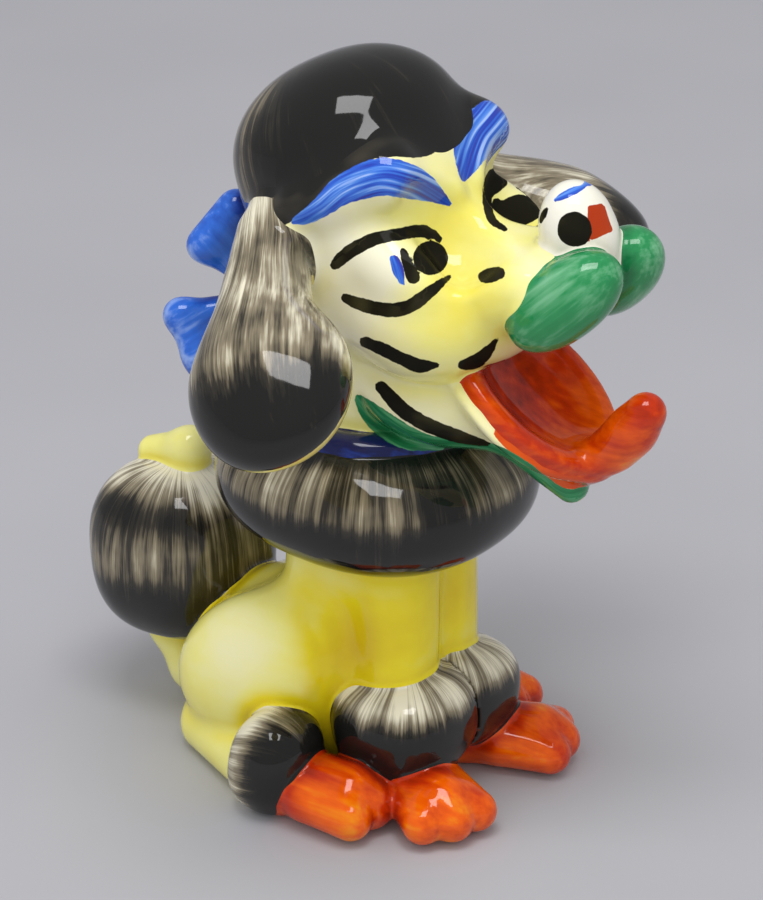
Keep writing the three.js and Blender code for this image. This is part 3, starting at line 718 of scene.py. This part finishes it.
def apart(first, second):
    """The distance of each point of the first set from each of the second."""
    return np.linalg.norm(first[:, None, :] - second[None, :, :], axis=2)


def stroke_field(strokes, points, facing, mirrored=True, depth=3.0, turn=GRAZING):
    """The distance to the nearest stroke or its mirror image, negative in the paint, and the place
    across the brush, in millimetres. The paint reaches no further behind the surface than the depth,
    and only a surface that faces the camera by more than the turn."""
    total = np.full(len(points), FAR)
    across = np.zeros(len(points))
    views = [(points, facing @ BACK)]
    if mirrored:
        views.append((flipped(points), flipped(facing) @ BACK))
    for line in strokes.values():
        curve = eased(line)
        heading = np.gradient(curve[:, :2], axis=0)
        heading /= np.linalg.norm(heading, axis=1)[:, None]
        places = on_surface(curve[:, :2])
        on_clay = np.abs(figure(places)) < 1
        curve = curve[on_clay]
        heading = heading[on_clay]
        places = places[on_clay]
        reach = curve[:, 2].max() / PIXELS_PER_MM + depth
        low = places.min(axis=0) - reach
        high = places.max(axis=0) + reach
        for view, front in views:
            near = ((view > low) & (view < high)).all(axis=1) & (front > turn)
            if not near.any():
                continue
            pixels = seen_at(view[near])
            gaps = apart(pixels, curve[:, :2])
            flat = (gaps - curve[:, 2] / 2).min(axis=1) / PIXELS_PER_MM
            nearest = gaps.argmin(axis=1)
            offset = pixels - curve[nearest, :2]
            side = np.cross(heading[nearest], offset) / PIXELS_PER_MM
            close = apart(view[near], places).min(axis=1) < reach
            better = close & (flat < total[near])
            total[near] = np.where(better, flat, total[near])
            across[near] = np.where(better, side, across[near])
    return total, across


def patch_field(corners, reach, points, facing):
    """The distance to a patch with straight edges, in millimetres, negative inside it, on the part of
    the surface within reach of its middle."""
    corners = np.array(corners, float)
    middle = on_surface([corners.mean(axis=0)])[0]
    pixels = seen_at(points)
    total = np.full(len(points), -FAR)
    for start, end in zip(corners, np.roll(corners, -1, axis=0)):
        edge = unit(end - start)
        outward = np.array([edge[1], -edge[0]])
        total = np.maximum(total, (pixels - start) @ outward / PIXELS_PER_MM)
    hidden = (facing @ BACK < GRAZING) | (np.linalg.norm(points - middle, axis=1) > reach)
    return np.where(hidden, FAR, total)


# Paint that is bounded by the way the surface faces: the roof of the mouth and the ears' inner faces
MOUTH_PAINT_MARGIN = 2.5
PAINT_EDGE = 6
PALATE_FACING = 0.75
EAR_INSIDE_FACING = 0.35


def paint_fields(points, facing):
    """Each colour's distance from its paint, negative in the paint, and the place across the brush."""
    ink, _ = stroke_field(INK, points, facing)
    far_ink, _ = stroke_field(FAR_INK, points, facing, mirrored=False)
    azure, azure_grain = stroke_field(AZURE, points, facing)
    far_azure, far_grain = stroke_field(FAR_AZURE, points, facing, mirrored=False)
    leaf, leaf_grain = stroke_field(LEAF, points, facing, depth=10.0, turn=-0.3)
    coral, _ = stroke_field(CORAL, points, facing)
    soot, _ = stroke_field(SOOT, points, facing)
    blue_grain = np.where(far_azure < 0.3, far_grain, azure_grain)
    blue = np.minimum(azure, far_azure)
    inside_mouth = bowl_form(0).distance(points) + MOUTH_PAINT_MARGIN
    palate = PAINT_EDGE * (facing[:, 2] + PALATE_FACING)
    side = np.sign(points[:, :1])
    ear_face = (facing * np.hstack([side, np.ones((len(points), 2))])) @ EAR_FACE
    return {
        "ink": np.minimum(ink, far_ink),
        "azure": blue,
        "leaf": leaf,
        "coral": coral,
        "rust": patch_field(NOSE_PATCH, NOSE_PATCH_REACH, points, facing),
        "soot": soot,
        "wine": np.maximum(inside_mouth, palate),
        "straw": PAINT_EDGE * (ear_face + EAR_INSIDE_FACING),
        "grain": np.where(blue < leaf, blue_grain, leaf_grain),
    }


def ramp_up(values, low, high):
    """From 0 at the low value to 1 at the high one, with soft ends."""
    share = np.clip((values - low) / (high - low), 0, 1)
    return share * share * (3 - 2 * share)


def turned(points, centre, radius):
    """Millimetres round a centre, none outwards, and millimetres up."""
    offset = points - centre
    around = np.arctan2(offset[:, 0], -offset[:, 1]) * radius
    return np.column_stack([around, np.zeros(len(points)), offset[:, 2]])


def comb_of(name, points):
    """Coordinates in millimetres that run twice across the brush, and along it, on a piece."""
    if name == "mane":
        return turned(points, MANE, 39)
    if name == "tail_pompom":
        return turned(points, POMPOM, 23)
    if name == "topknot":
        return turned(points @ TOPKNOT_TURN, TOPKNOT @ TOPKNOT_TURN, 28)
    side = -1 if name.endswith("_right") else 1
    folded = points * np.array([side, 1, 1])
    if name.startswith("ear"):
        across, deep, along = ((folded - EAR_ROOT) @ EAR_TURN).T
        spread = 0.6 + 0.4 * ramp_up(along, 10, 45)
        return np.column_stack([across / spread, 0.25 * deep, along])
    if name.startswith("lip"):
        return folded @ LIP_TURN
    if name.startswith("bow_loop"):
        return folded @ aim(LOOP_ALONG, LOOP_ACROSS)
    if name.startswith("bow_tail"):
        return folded @ aim(RIBBON_ALONG, RIBBON_ACROSS)
    if name.startswith("front_cuff"):
        return turned(folded, FRONT_CUFF, 17)
    if name.startswith("hind_cuff"):
        return turned(folded @ HIND_CUFF_BRUSH, HIND_CUFF @ HIND_CUFF_BRUSH, 13)
    return folded[:, [0, 2, 1]]


def spot(points, pixel, radius):
    """1 at the point that shows at a pixel, and at its mirror image, fading out over the radius."""
    centre = on_surface([pixel])[0]
    near = ((points - centre) ** 2).sum(axis=1)
    far_side = ((flipped(points) - centre) ** 2).sum(axis=1)
    return np.exp(-np.minimum(near, far_side) / radius**2)


def depth_and_painted_light_of(name, points, crease):
    """How dark the glaze is drawn, from 0, thin and pale, to 1, pooled and dark. Creases and some
    spots are darkened as painted shade, and some spots paled as painted highlight.
    """
    # Every piece's crease term darkens its creases, partly as glaze pooled there and partly as painted
    # shade.
    y = points[:, 1]
    z = points[:, 2]
    side = -1 if name.endswith("_right") else 1
    if name == "body":
        deep = 0.4 + 0.45 * crease
        # The flank's hollow is drawn darker, partly as pooled glaze and partly as painted shade; the
        # haunch's crown paler, as a painted highlight; the leg's side darker, as painted shade.
        deep += 0.4 * spot(points, FLANK_HOLLOW, 14)
        deep -= 0.25 * spot(points, HAUNCH_HIGHLIGHT, 16)
        return deep + 0.3 * spot(points, LEG_SIDE_SHADE, 14)
    if name == "head":
        deep = 0.16 + 0.25 * crease
        deep += 0.3 * spot(points, MUZZLE_SIDE, 15)
        deep += 0.3 * spot(points, BROW_GAP, 10)
        deep -= 0.2 * spot(points, EYE_WHITE, 9)
        deep -= 0.2 * spot(points, TEMPLE, 14)
        # The back of the cheek is drawn paler, partly its cream glaze and partly a painted highlight.
        return deep - 0.2 * spot(points, CHEEK_BACK, 14)
    if name == "lower_jaw":
        return 0.1 + 0.25 * crease
    if name.startswith("tail_s") or name == "tail_tip":
        return 0.3 + 0.4 * crease
    if name == "mane":
        # Darker at the top against the collar, partly the black glaze and partly painted shade under
        # the head.
        deep = 0.46 + 0.5 * ramp_up(-z, -87, -80) + 0.5 * ramp_up(z, 95, 99)
        return deep + 0.45 * spot(points, MANE_FRONT, 7)
    if name == "tail_pompom":
        deep = 0.08 + 0.5 * ramp_up(-z, -65, -58) + 0.35 * ramp_up(-z, -46, -34)
        deep += 0.45 * spot(points, POMPOM_SHOULDER, 8) + 0.4 * spot(points, POMPOM_INNER, 7)
        return deep - 0.15 * spot(points, POMPOM_MIDDLE, 7) - 0.2 * spot(points, POMPOM_OUTER, 6)
    if name == "topknot":
        return 0.95 - 0.5 * ramp_up(y, 6, 32)
    if name.startswith("ear"):
        along = (points * np.array([side, 1, 1]) - EAR_ROOT) @ EAR_ALONG
        deep = 0.24 + 0.12 * ramp_up(along, 8, 32) + 0.6 * ramp_up(along, 43, 60)
        return deep + 0.4 * spot(points, EAR_EDGE, 7)
    if name.startswith("front_cuff"):
        return 0.24 + 0.7 * ramp_up(-z, -30, -22)
    if name.startswith("hind_cuff"):
        return 0.95 - 0.7 * ramp_up(y, 3, 14) - 0.35 * ramp_up(z, 20, 27)
    if name == "tongue":
        # Darker further into the mouth, towards the throat and at the tip's turned side, as painted
        # shade.
        sunk = (MOUTH - points) @ MOUTH_SLOPE[:, 2]
        deep = 0.44 + 0.13 * ramp_up(sunk, -1, 8) + 0.24 * ramp_up(y, -62, -38)
        return deep + 0.3 * spot(points, TONGUE_TIP_SHADE, 8)
    if name == "collar":
        return 0.9 + 0.1 * crease
    return 0.4 + 0.4 * crease


# Materials
def attribute(tree, name):
    """A node that reads what is stored on the mesh's points."""
    node = tree.nodes.new("ShaderNodeAttribute")
    node.attribute_name = name
    return node


def math_node(tree, operation, first, second):
    """A sum or product of two values, each a socket or a plain number."""
    node = tree.nodes.new("ShaderNodeMath")
    node.operation = operation
    for place, value in enumerate((first, second)):
        if isinstance(value, (int, float)):
            node.inputs[place].default_value = value
        else:
            tree.links.new(value, node.inputs[place])
    return node.outputs[0]


def noise(tree, vector, scale, detail=3.0):
    node = tree.nodes.new("ShaderNodeTexNoise")
    node.inputs["Scale"].default_value = scale
    node.inputs["Detail"].default_value = detail
    tree.links.new(vector, node.inputs["Vector"])
    return node.outputs["Fac"]


def between(tree, value, low, high):
    """From 0 at the low value to 1 at the high one, with soft ends."""
    node = tree.nodes.new("ShaderNodeMapRange")
    node.interpolation_type = "SMOOTHSTEP"
    node.inputs["From Min"].default_value = low
    node.inputs["From Max"].default_value = high
    tree.links.new(value, node.inputs["Value"])
    return node.outputs["Result"]


def mixed(tree, share, first, second):
    """Two colours mixed by a share, each a socket or a plain colour."""
    node = tree.nodes.new("ShaderNodeMix")
    node.data_type = "RGBA"
    tree.links.new(share, node.inputs["Factor"])
    for name, value in (("A", first), ("B", second)):
        target = next(i for i in node.inputs if i.name == name and i.type == "RGBA")
        if isinstance(value, tuple):
            target.default_value = value + (1,)
        else:
            tree.links.new(value, target)
    return next(o for o in node.outputs if o.type == "RGBA")


def colours(tree, value, stops):
    """A colour that follows a value from stop to stop."""
    node = tree.nodes.new("ShaderNodeValToRGB")
    ramp = node.color_ramp
    while len(ramp.elements) < len(stops):
        ramp.elements.new(0.5)
    for element, (place, colour) in zip(ramp.elements, stops):
        element.position = place
        element.color = colour + (1,)
    tree.links.new(value, node.inputs["Fac"])
    return node.outputs["Color"]


def axis_of(tree, vector, axis):
    node = tree.nodes.new("ShaderNodeSeparateXYZ")
    tree.links.new(vector, node.inputs[0])
    return node.outputs[axis]


# Noise scales, per metre
CLOUD_SCALE = 60.0
EDGE_SCALE = 500.0
RIPPLE_SCALE = 120.0

# Brush streaks: how long they are beside their width, and how much broader the broad ones are
FINE_LENGTH = 32
BROAD_LENGTH = 10
BROAD_FINENESS = 0.22
BROAD_STREAK = 1.5


def along_brush(tree, place, fineness):
    """A vector whose noise runs in streaks along a painted stroke."""
    grain = attribute(tree, "grain").outputs["Fac"]
    node = tree.nodes.new("ShaderNodeCombineXYZ")
    tree.links.new(math_node(tree, "MULTIPLY", grain, fineness), node.inputs["X"])
    for axis in ("Y", "Z"):
        slow = math_node(tree, "MULTIPLY", axis_of(tree, place, axis), CLOUD_SCALE)
        tree.links.new(slow, node.inputs[axis])
    return node.outputs[0]


def uneven(tree, value, amount):
    """Noise moved to lie about zero, and scaled."""
    return math_node(tree, "MULTIPLY", math_node(tree, "SUBTRACT", value, 0.5), amount)


# Paint: how fine its streaks are, and its colours from thin to thick
PAINTS = {
    "straw": (0.1, [(0.3, (0.88, 0.8, 0.34)), (0.7, (0.8, 0.62, 0.1))]),
    "wine": (0.1, [
        (0.3, (0.34, 0.016, 0.002)), (0.5, (0.24, 0.01, 0.001)), (0.7, (0.14, 0.005, 0.001)),
    ]),
    "leaf": (0.9, [(0.3, (0.12, 0.42, 0.2)), (0.5, (0.022, 0.24, 0.085)), (0.7, (0.01, 0.14, 0.05))]),
    "coral": (0.1, [(0.3, (0.8, 0.12, 0.003)), (0.6, (0.62, 0.05, 0.002))]),
    "soot": (0.1, [
        (0.3, (0.05, 0.042, 0.03)), (0.5, (0.012, 0.012, 0.01)), (0.7, (0.008, 0.008, 0.007)),
    ]),
    "azure": (0.9, [
        (0.32, (0.35, 0.5, 0.9)), (0.42, (0.08, 0.24, 0.74)), (0.52, (0.03, 0.12, 0.6)),
        (0.62, (0.02, 0.06, 0.45)), (0.72, (0.05, 0.03, 0.26)),
    ]),
    "rust": (0.1, [(0.35, (0.52, 0.055, 0.002)), (0.6, (0.4, 0.03, 0.001))]),
    "ink": (0.1, [
        (0.3, (0.05, 0.046, 0.022)), (0.48, (0.014, 0.013, 0.008)), (0.7, (0.007, 0.007, 0.006)),
    ]),
}
INK_GLOSS_LOSS = 0.9


def brushed(tree, comb, fineness, length):
    """Noise in streaks along the brush: how fine they are, and how long beside their width."""
    stretch = tree.nodes.new("ShaderNodeMapping")
    stretch.inputs["Scale"].default_value = (fineness, fineness, fineness / length)
    tree.links.new(comb, stretch.inputs["Vector"])
    return noise(tree, stretch.outputs["Vector"], 1.0, 4.0)


def glaze(name, stops, streak, brush, mottle, strokes=()):
    """A glossy glaze whose colour follows its depth, painted shade and highlight included, with
    brush streaks and painted strokes.
    """
    material = bpy.data.materials.new(name)
    material.use_nodes = True
    tree = material.node_tree
    shader = tree.nodes["Principled BSDF"]
    comb = attribute(tree, "comb").outputs["Vector"]
    place = tree.nodes.new("ShaderNodeTexCoord").outputs["Object"]
    depth = attribute(tree, "depth").outputs["Fac"]
    fine = uneven(tree, brushed(tree, comb, brush, FINE_LENGTH), streak)
    broad_streaks = brushed(tree, comb, brush * BROAD_FINENESS, BROAD_LENGTH)
    broad = uneven(tree, broad_streaks, streak * BROAD_STREAK)
    cloud = uneven(tree, noise(tree, place, CLOUD_SCALE), mottle)
    for change in (fine, broad, cloud):
        depth = math_node(tree, "ADD", depth, change)
    colour = colours(tree, depth, stops)
    edge = noise(tree, place, EDGE_SCALE, 2.0)
    for stroke in strokes:
        far = attribute(tree, stroke).outputs["Fac"]
        ragged = math_node(tree, "ADD", far, uneven(tree, edge, 0.6))
        fineness, tones = PAINTS[stroke]
        tone = noise(tree, along_brush(tree, place, fineness), 1.0, 2.0)
        laid = colours(tree, tone, tones)
        cover = between(tree, ragged, 0.1, -0.1)
        colour = mixed(tree, cover, colour, laid)
        if stroke == "ink":
            loss = math_node(tree, "MULTIPLY", cover, INK_GLOSS_LOSS)
            tree.links.new(math_node(tree, "SUBTRACT", 1.0, loss), shader.inputs["Coat Weight"])
    tree.links.new(colour, shader.inputs["Base Color"])
    shader.inputs["Roughness"].default_value = 0.22
    shader.inputs["Specular IOR Level"].default_value = 0.0
    shader.inputs["Coat Weight"].default_value = 1.0
    shader.inputs["Coat Roughness"].default_value = 0.06
    bump = tree.nodes.new("ShaderNodeBump")
    bump.inputs["Strength"].default_value = 0.08
    bump.inputs["Distance"].default_value = 0.001
    tree.links.new(noise(tree, place, RIPPLE_SCALE, 2.0), bump.inputs["Height"])
    tree.links.new(bump.outputs["Normal"], shader.inputs["Normal"])
    tree.links.new(bump.outputs["Normal"], shader.inputs["Coat Normal"])
    return material


# Glazes: colours from thin and pale to pooled and dark, also standing for painted shade and highlight
YELLOWS = [
    (0.0, (0.9, 0.87, 0.66)), (0.35, (0.88, 0.83, 0.25)),
    (0.65, (0.84, 0.69, 0.012)), (1.0, (0.68, 0.47, 0.004)),
]
BLACKS = [
    (0.12, (0.8, 0.75, 0.58)), (0.36, (0.25, 0.21, 0.14)),
    (0.6, (0.035, 0.03, 0.022)), (0.82, (0.01, 0.01, 0.009)),
]
ORANGES = [
    (0.05, (0.9, 0.36, 0.006)), (0.35, (0.86, 0.12, 0.001)),
    (0.65, (0.55, 0.032, 0.001)), (1.0, (0.17, 0.006, 0.001)),
]
BLUES = [
    (0.1, (0.35, 0.5, 0.88)), (0.4, (0.03, 0.14, 0.62)),
    (0.75, (0.014, 0.05, 0.34)), (1.0, (0.008, 0.012, 0.08)),
]
GREENS = [
    (0.1, (0.22, 0.52, 0.3)), (0.4, (0.025, 0.26, 0.085)),
    (0.75, (0.01, 0.16, 0.05)), (1.0, (0.008, 0.09, 0.03)),
]
WHITES = [(0.0, (0.9, 0.88, 0.82)), (0.6, (0.84, 0.81, 0.68)), (1.0, (0.6, 0.56, 0.42))]
ON_YELLOW = ("wine", "soot", "coral", "leaf", "azure", "ink")
ON_WHITE = ("azure", "rust", "ink")
MATERIALS = {
    "yellow": glaze("yellow_glaze", YELLOWS, streak=0.1, brush=0.3, mottle=0.3, strokes=ON_YELLOW),
    "black": glaze("black_glaze", BLACKS, streak=0.6, brush=1.7, mottle=0.7, strokes=("straw",)),
    "orange": glaze("orange_glaze", ORANGES, streak=0.5, brush=0.5, mottle=1.0),
    "blue": glaze("blue_glaze", BLUES, streak=0.6, brush=0.5, mottle=0.5, strokes=("leaf",)),
    "green": glaze("green_glaze", GREENS, streak=0.45, brush=0.8, mottle=0.5),
    "white": glaze("white_glaze", WHITES, streak=0.2, brush=0.6, mottle=0.3, strokes=ON_WHITE),
}


def store(mesh, name, values):
    """Put a number on each point of a mesh, for its material to read."""
    mesh.attributes.new(name, "FLOAT", "POINT").data.foreach_set("value", values.astype(np.float32))


def add_piece(column):
    """One piece's part of the surface, as a mesh that rides in the place of its solid."""
    name, colour, _, _ = PIECES[column]
    quads, triangles = piece_faces[column]
    used = np.unique(np.concatenate([quads.ravel(), triangles.ravel()]))
    number = np.full(len(surface_points), -1)
    number[used] = np.arange(len(used))
    mesh = bpy.data.meshes.new(name + "_glaze")
    faces = number[quads].tolist() + number[triangles].tolist()
    mesh.from_pydata((surface_points[used] * MM).tolist(), [], faces)
    mesh.shade_smooth()
    mesh.normals_split_custom_set_from_vertices(normals[used].tolist())
    for key, values in paint.items():
        if key == "straw" and not name.startswith("ear"):
            values = np.full(len(values), FAR)
        store(mesh, key, values[used])
    # depth: the glaze's own tone, with painted shade in the creases and painted shade and highlight at
    # some spots
    store(mesh, "depth", depth_and_painted_light_of(name, surface_points[used], crease[used]))
    comb = comb_of(name, surface_points[used]).astype(np.float32)
    mesh.attributes.new("comb", "FLOAT_VECTOR", "POINT").data.foreach_set("vector", comb.ravel())
    mesh.materials.append(MATERIALS[colour])
    made = bpy.data.objects.new(name + "_glaze", mesh)
    bpy.context.scene.collection.objects.link(made)
    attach(made, "root")
    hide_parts(name)


# How far the clay is looked for over a surface to tell a crease, in millimetres
CREASE_REACH = 6

surface_points, surface_quads = drawn()
surface_points, piece_faces = cut_apart(surface_points, surface_quads)
normals = slope(surface_points)
normals /= np.linalg.norm(normals, axis=1)[:, None]
# crease: how closely clay closes over each point, used to darken creases as pooled glaze and as painted
# shade
crease = np.clip((CREASE_REACH - figure(surface_points + CREASE_REACH * normals)) / CREASE_REACH, 0, 1)
paint = paint_fields(surface_points, normals)
for column in range(len(PIECES)):
    add_piece(column)

# Floor, light and camera. The glaze mirrors a dimmer room than the one that lights it, and past the
# floor's edge the camera sees the floor's own tone.
FLOOR_SIZE = 6.0
FLOOR_TONES = [(0.3, (0.43, 0.43, 0.46)), (0.7, (0.46, 0.46, 0.49))]
WINDOW_SIDE = (-0.82, -0.3, 0.48)
ROOM_LIGHT = [(0.0, (0.38, 0.38, 0.39)), (1.0, (1.0, 1.0, 1.0))]
ROOM = (0.25, 0.25, 0.26)
BACKDROP = (0.287, 0.288, 0.307)
ROOM_STRENGTH = 1.25
LAMP_AIM = Vector((0, 0, 0.1))


def add_floor():
    mesh = bpy.data.meshes.new("studio_floor")
    half = FLOOR_SIZE / 2
    corners = [(-half, -half, 0), (half, -half, 0), (half, half, 0), (-half, half, 0)]
    mesh.from_pydata(corners, [], [(0, 1, 2, 3)])
    material = bpy.data.materials.new("studio_floor")
    material.use_nodes = True
    tree = material.node_tree
    shader = tree.nodes["Principled BSDF"]
    shader.inputs["Roughness"].default_value = 0.9
    place = tree.nodes.new("ShaderNodeTexCoord").outputs["Object"]
    tone = noise(tree, place, 6.0, 2.0)
    tree.links.new(colours(tree, tone, FLOOR_TONES), shader.inputs["Base Color"])
    mesh.materials.append(material)
    floor = bpy.data.objects.new("studio_floor", mesh)
    bpy.context.scene.collection.objects.link(floor)


def add_softbox(name, azimuth, elevation, distance, width, height, power):
    """A lamp aimed at the figure, placed in degrees and metres."""
    a = math.radians(azimuth)
    e = math.radians(elevation)
    back = Vector((math.sin(a) * math.cos(e), -math.cos(a) * math.cos(e), math.sin(e)))
    lamp = bpy.data.lights.new(name, "AREA")
    lamp.shape = "RECTANGLE"
    lamp.size = width
    lamp.size_y = height
    lamp.energy = power
    made = bpy.data.objects.new(name, lamp)
    made.location = LAMP_AIM + back * distance
    made.rotation_mode = "QUATERNION"
    made.rotation_quaternion = (-back).to_track_quat("-Z", "Y")
    bpy.context.scene.collection.objects.link(made)


def add_world():
    """Soft light all round, strongest from one side, as in a room with a large window."""
    world = bpy.data.worlds.new("studio")
    bpy.context.scene.world = world
    world.use_nodes = True
    tree = world.node_tree
    backdrop = tree.nodes["Background"]
    towards = tree.nodes.new("ShaderNodeVectorMath")
    towards.operation = "DOT_PRODUCT"
    towards.inputs[1].default_value = WINDOW_SIDE
    tree.links.new(tree.nodes.new("ShaderNodeTexCoord").outputs["Generated"], towards.inputs[0])
    light = colours(tree, towards.outputs["Value"], ROOM_LIGHT)
    rays = tree.nodes.new("ShaderNodeLightPath")
    mirrored = mixed(tree, rays.outputs["Is Glossy Ray"], light, ROOM)
    seen = mixed(tree, rays.outputs["Is Camera Ray"], mirrored, BACKDROP)
    tree.links.new(seen, backdrop.inputs["Color"])
    backdrop.inputs["Strength"].default_value = ROOM_STRENGTH


def add_camera():
    lens = bpy.data.cameras.new("camera")
    lens.sensor_width = SENSOR
    lens.lens = SENSOR * FOCAL_PIXELS / IMAGE_HEIGHT
    camera = bpy.data.objects.new("camera", lens)
    camera.location = Vector(EYE * MM)
    axes = np.column_stack([RIGHT, UP, BACK])
    camera.rotation_mode = "QUATERNION"
    camera.rotation_quaternion = Matrix(axes.tolist()).to_quaternion()
    bpy.context.scene.collection.objects.link(camera)
    bpy.context.scene.camera = camera


add_floor()
add_softbox("key", azimuth=-60, elevation=75, distance=0.9, width=0.5, height=0.35, power=3.6)
add_world()
add_camera()
bpy.context.scene.view_settings.view_transform = "Standard"
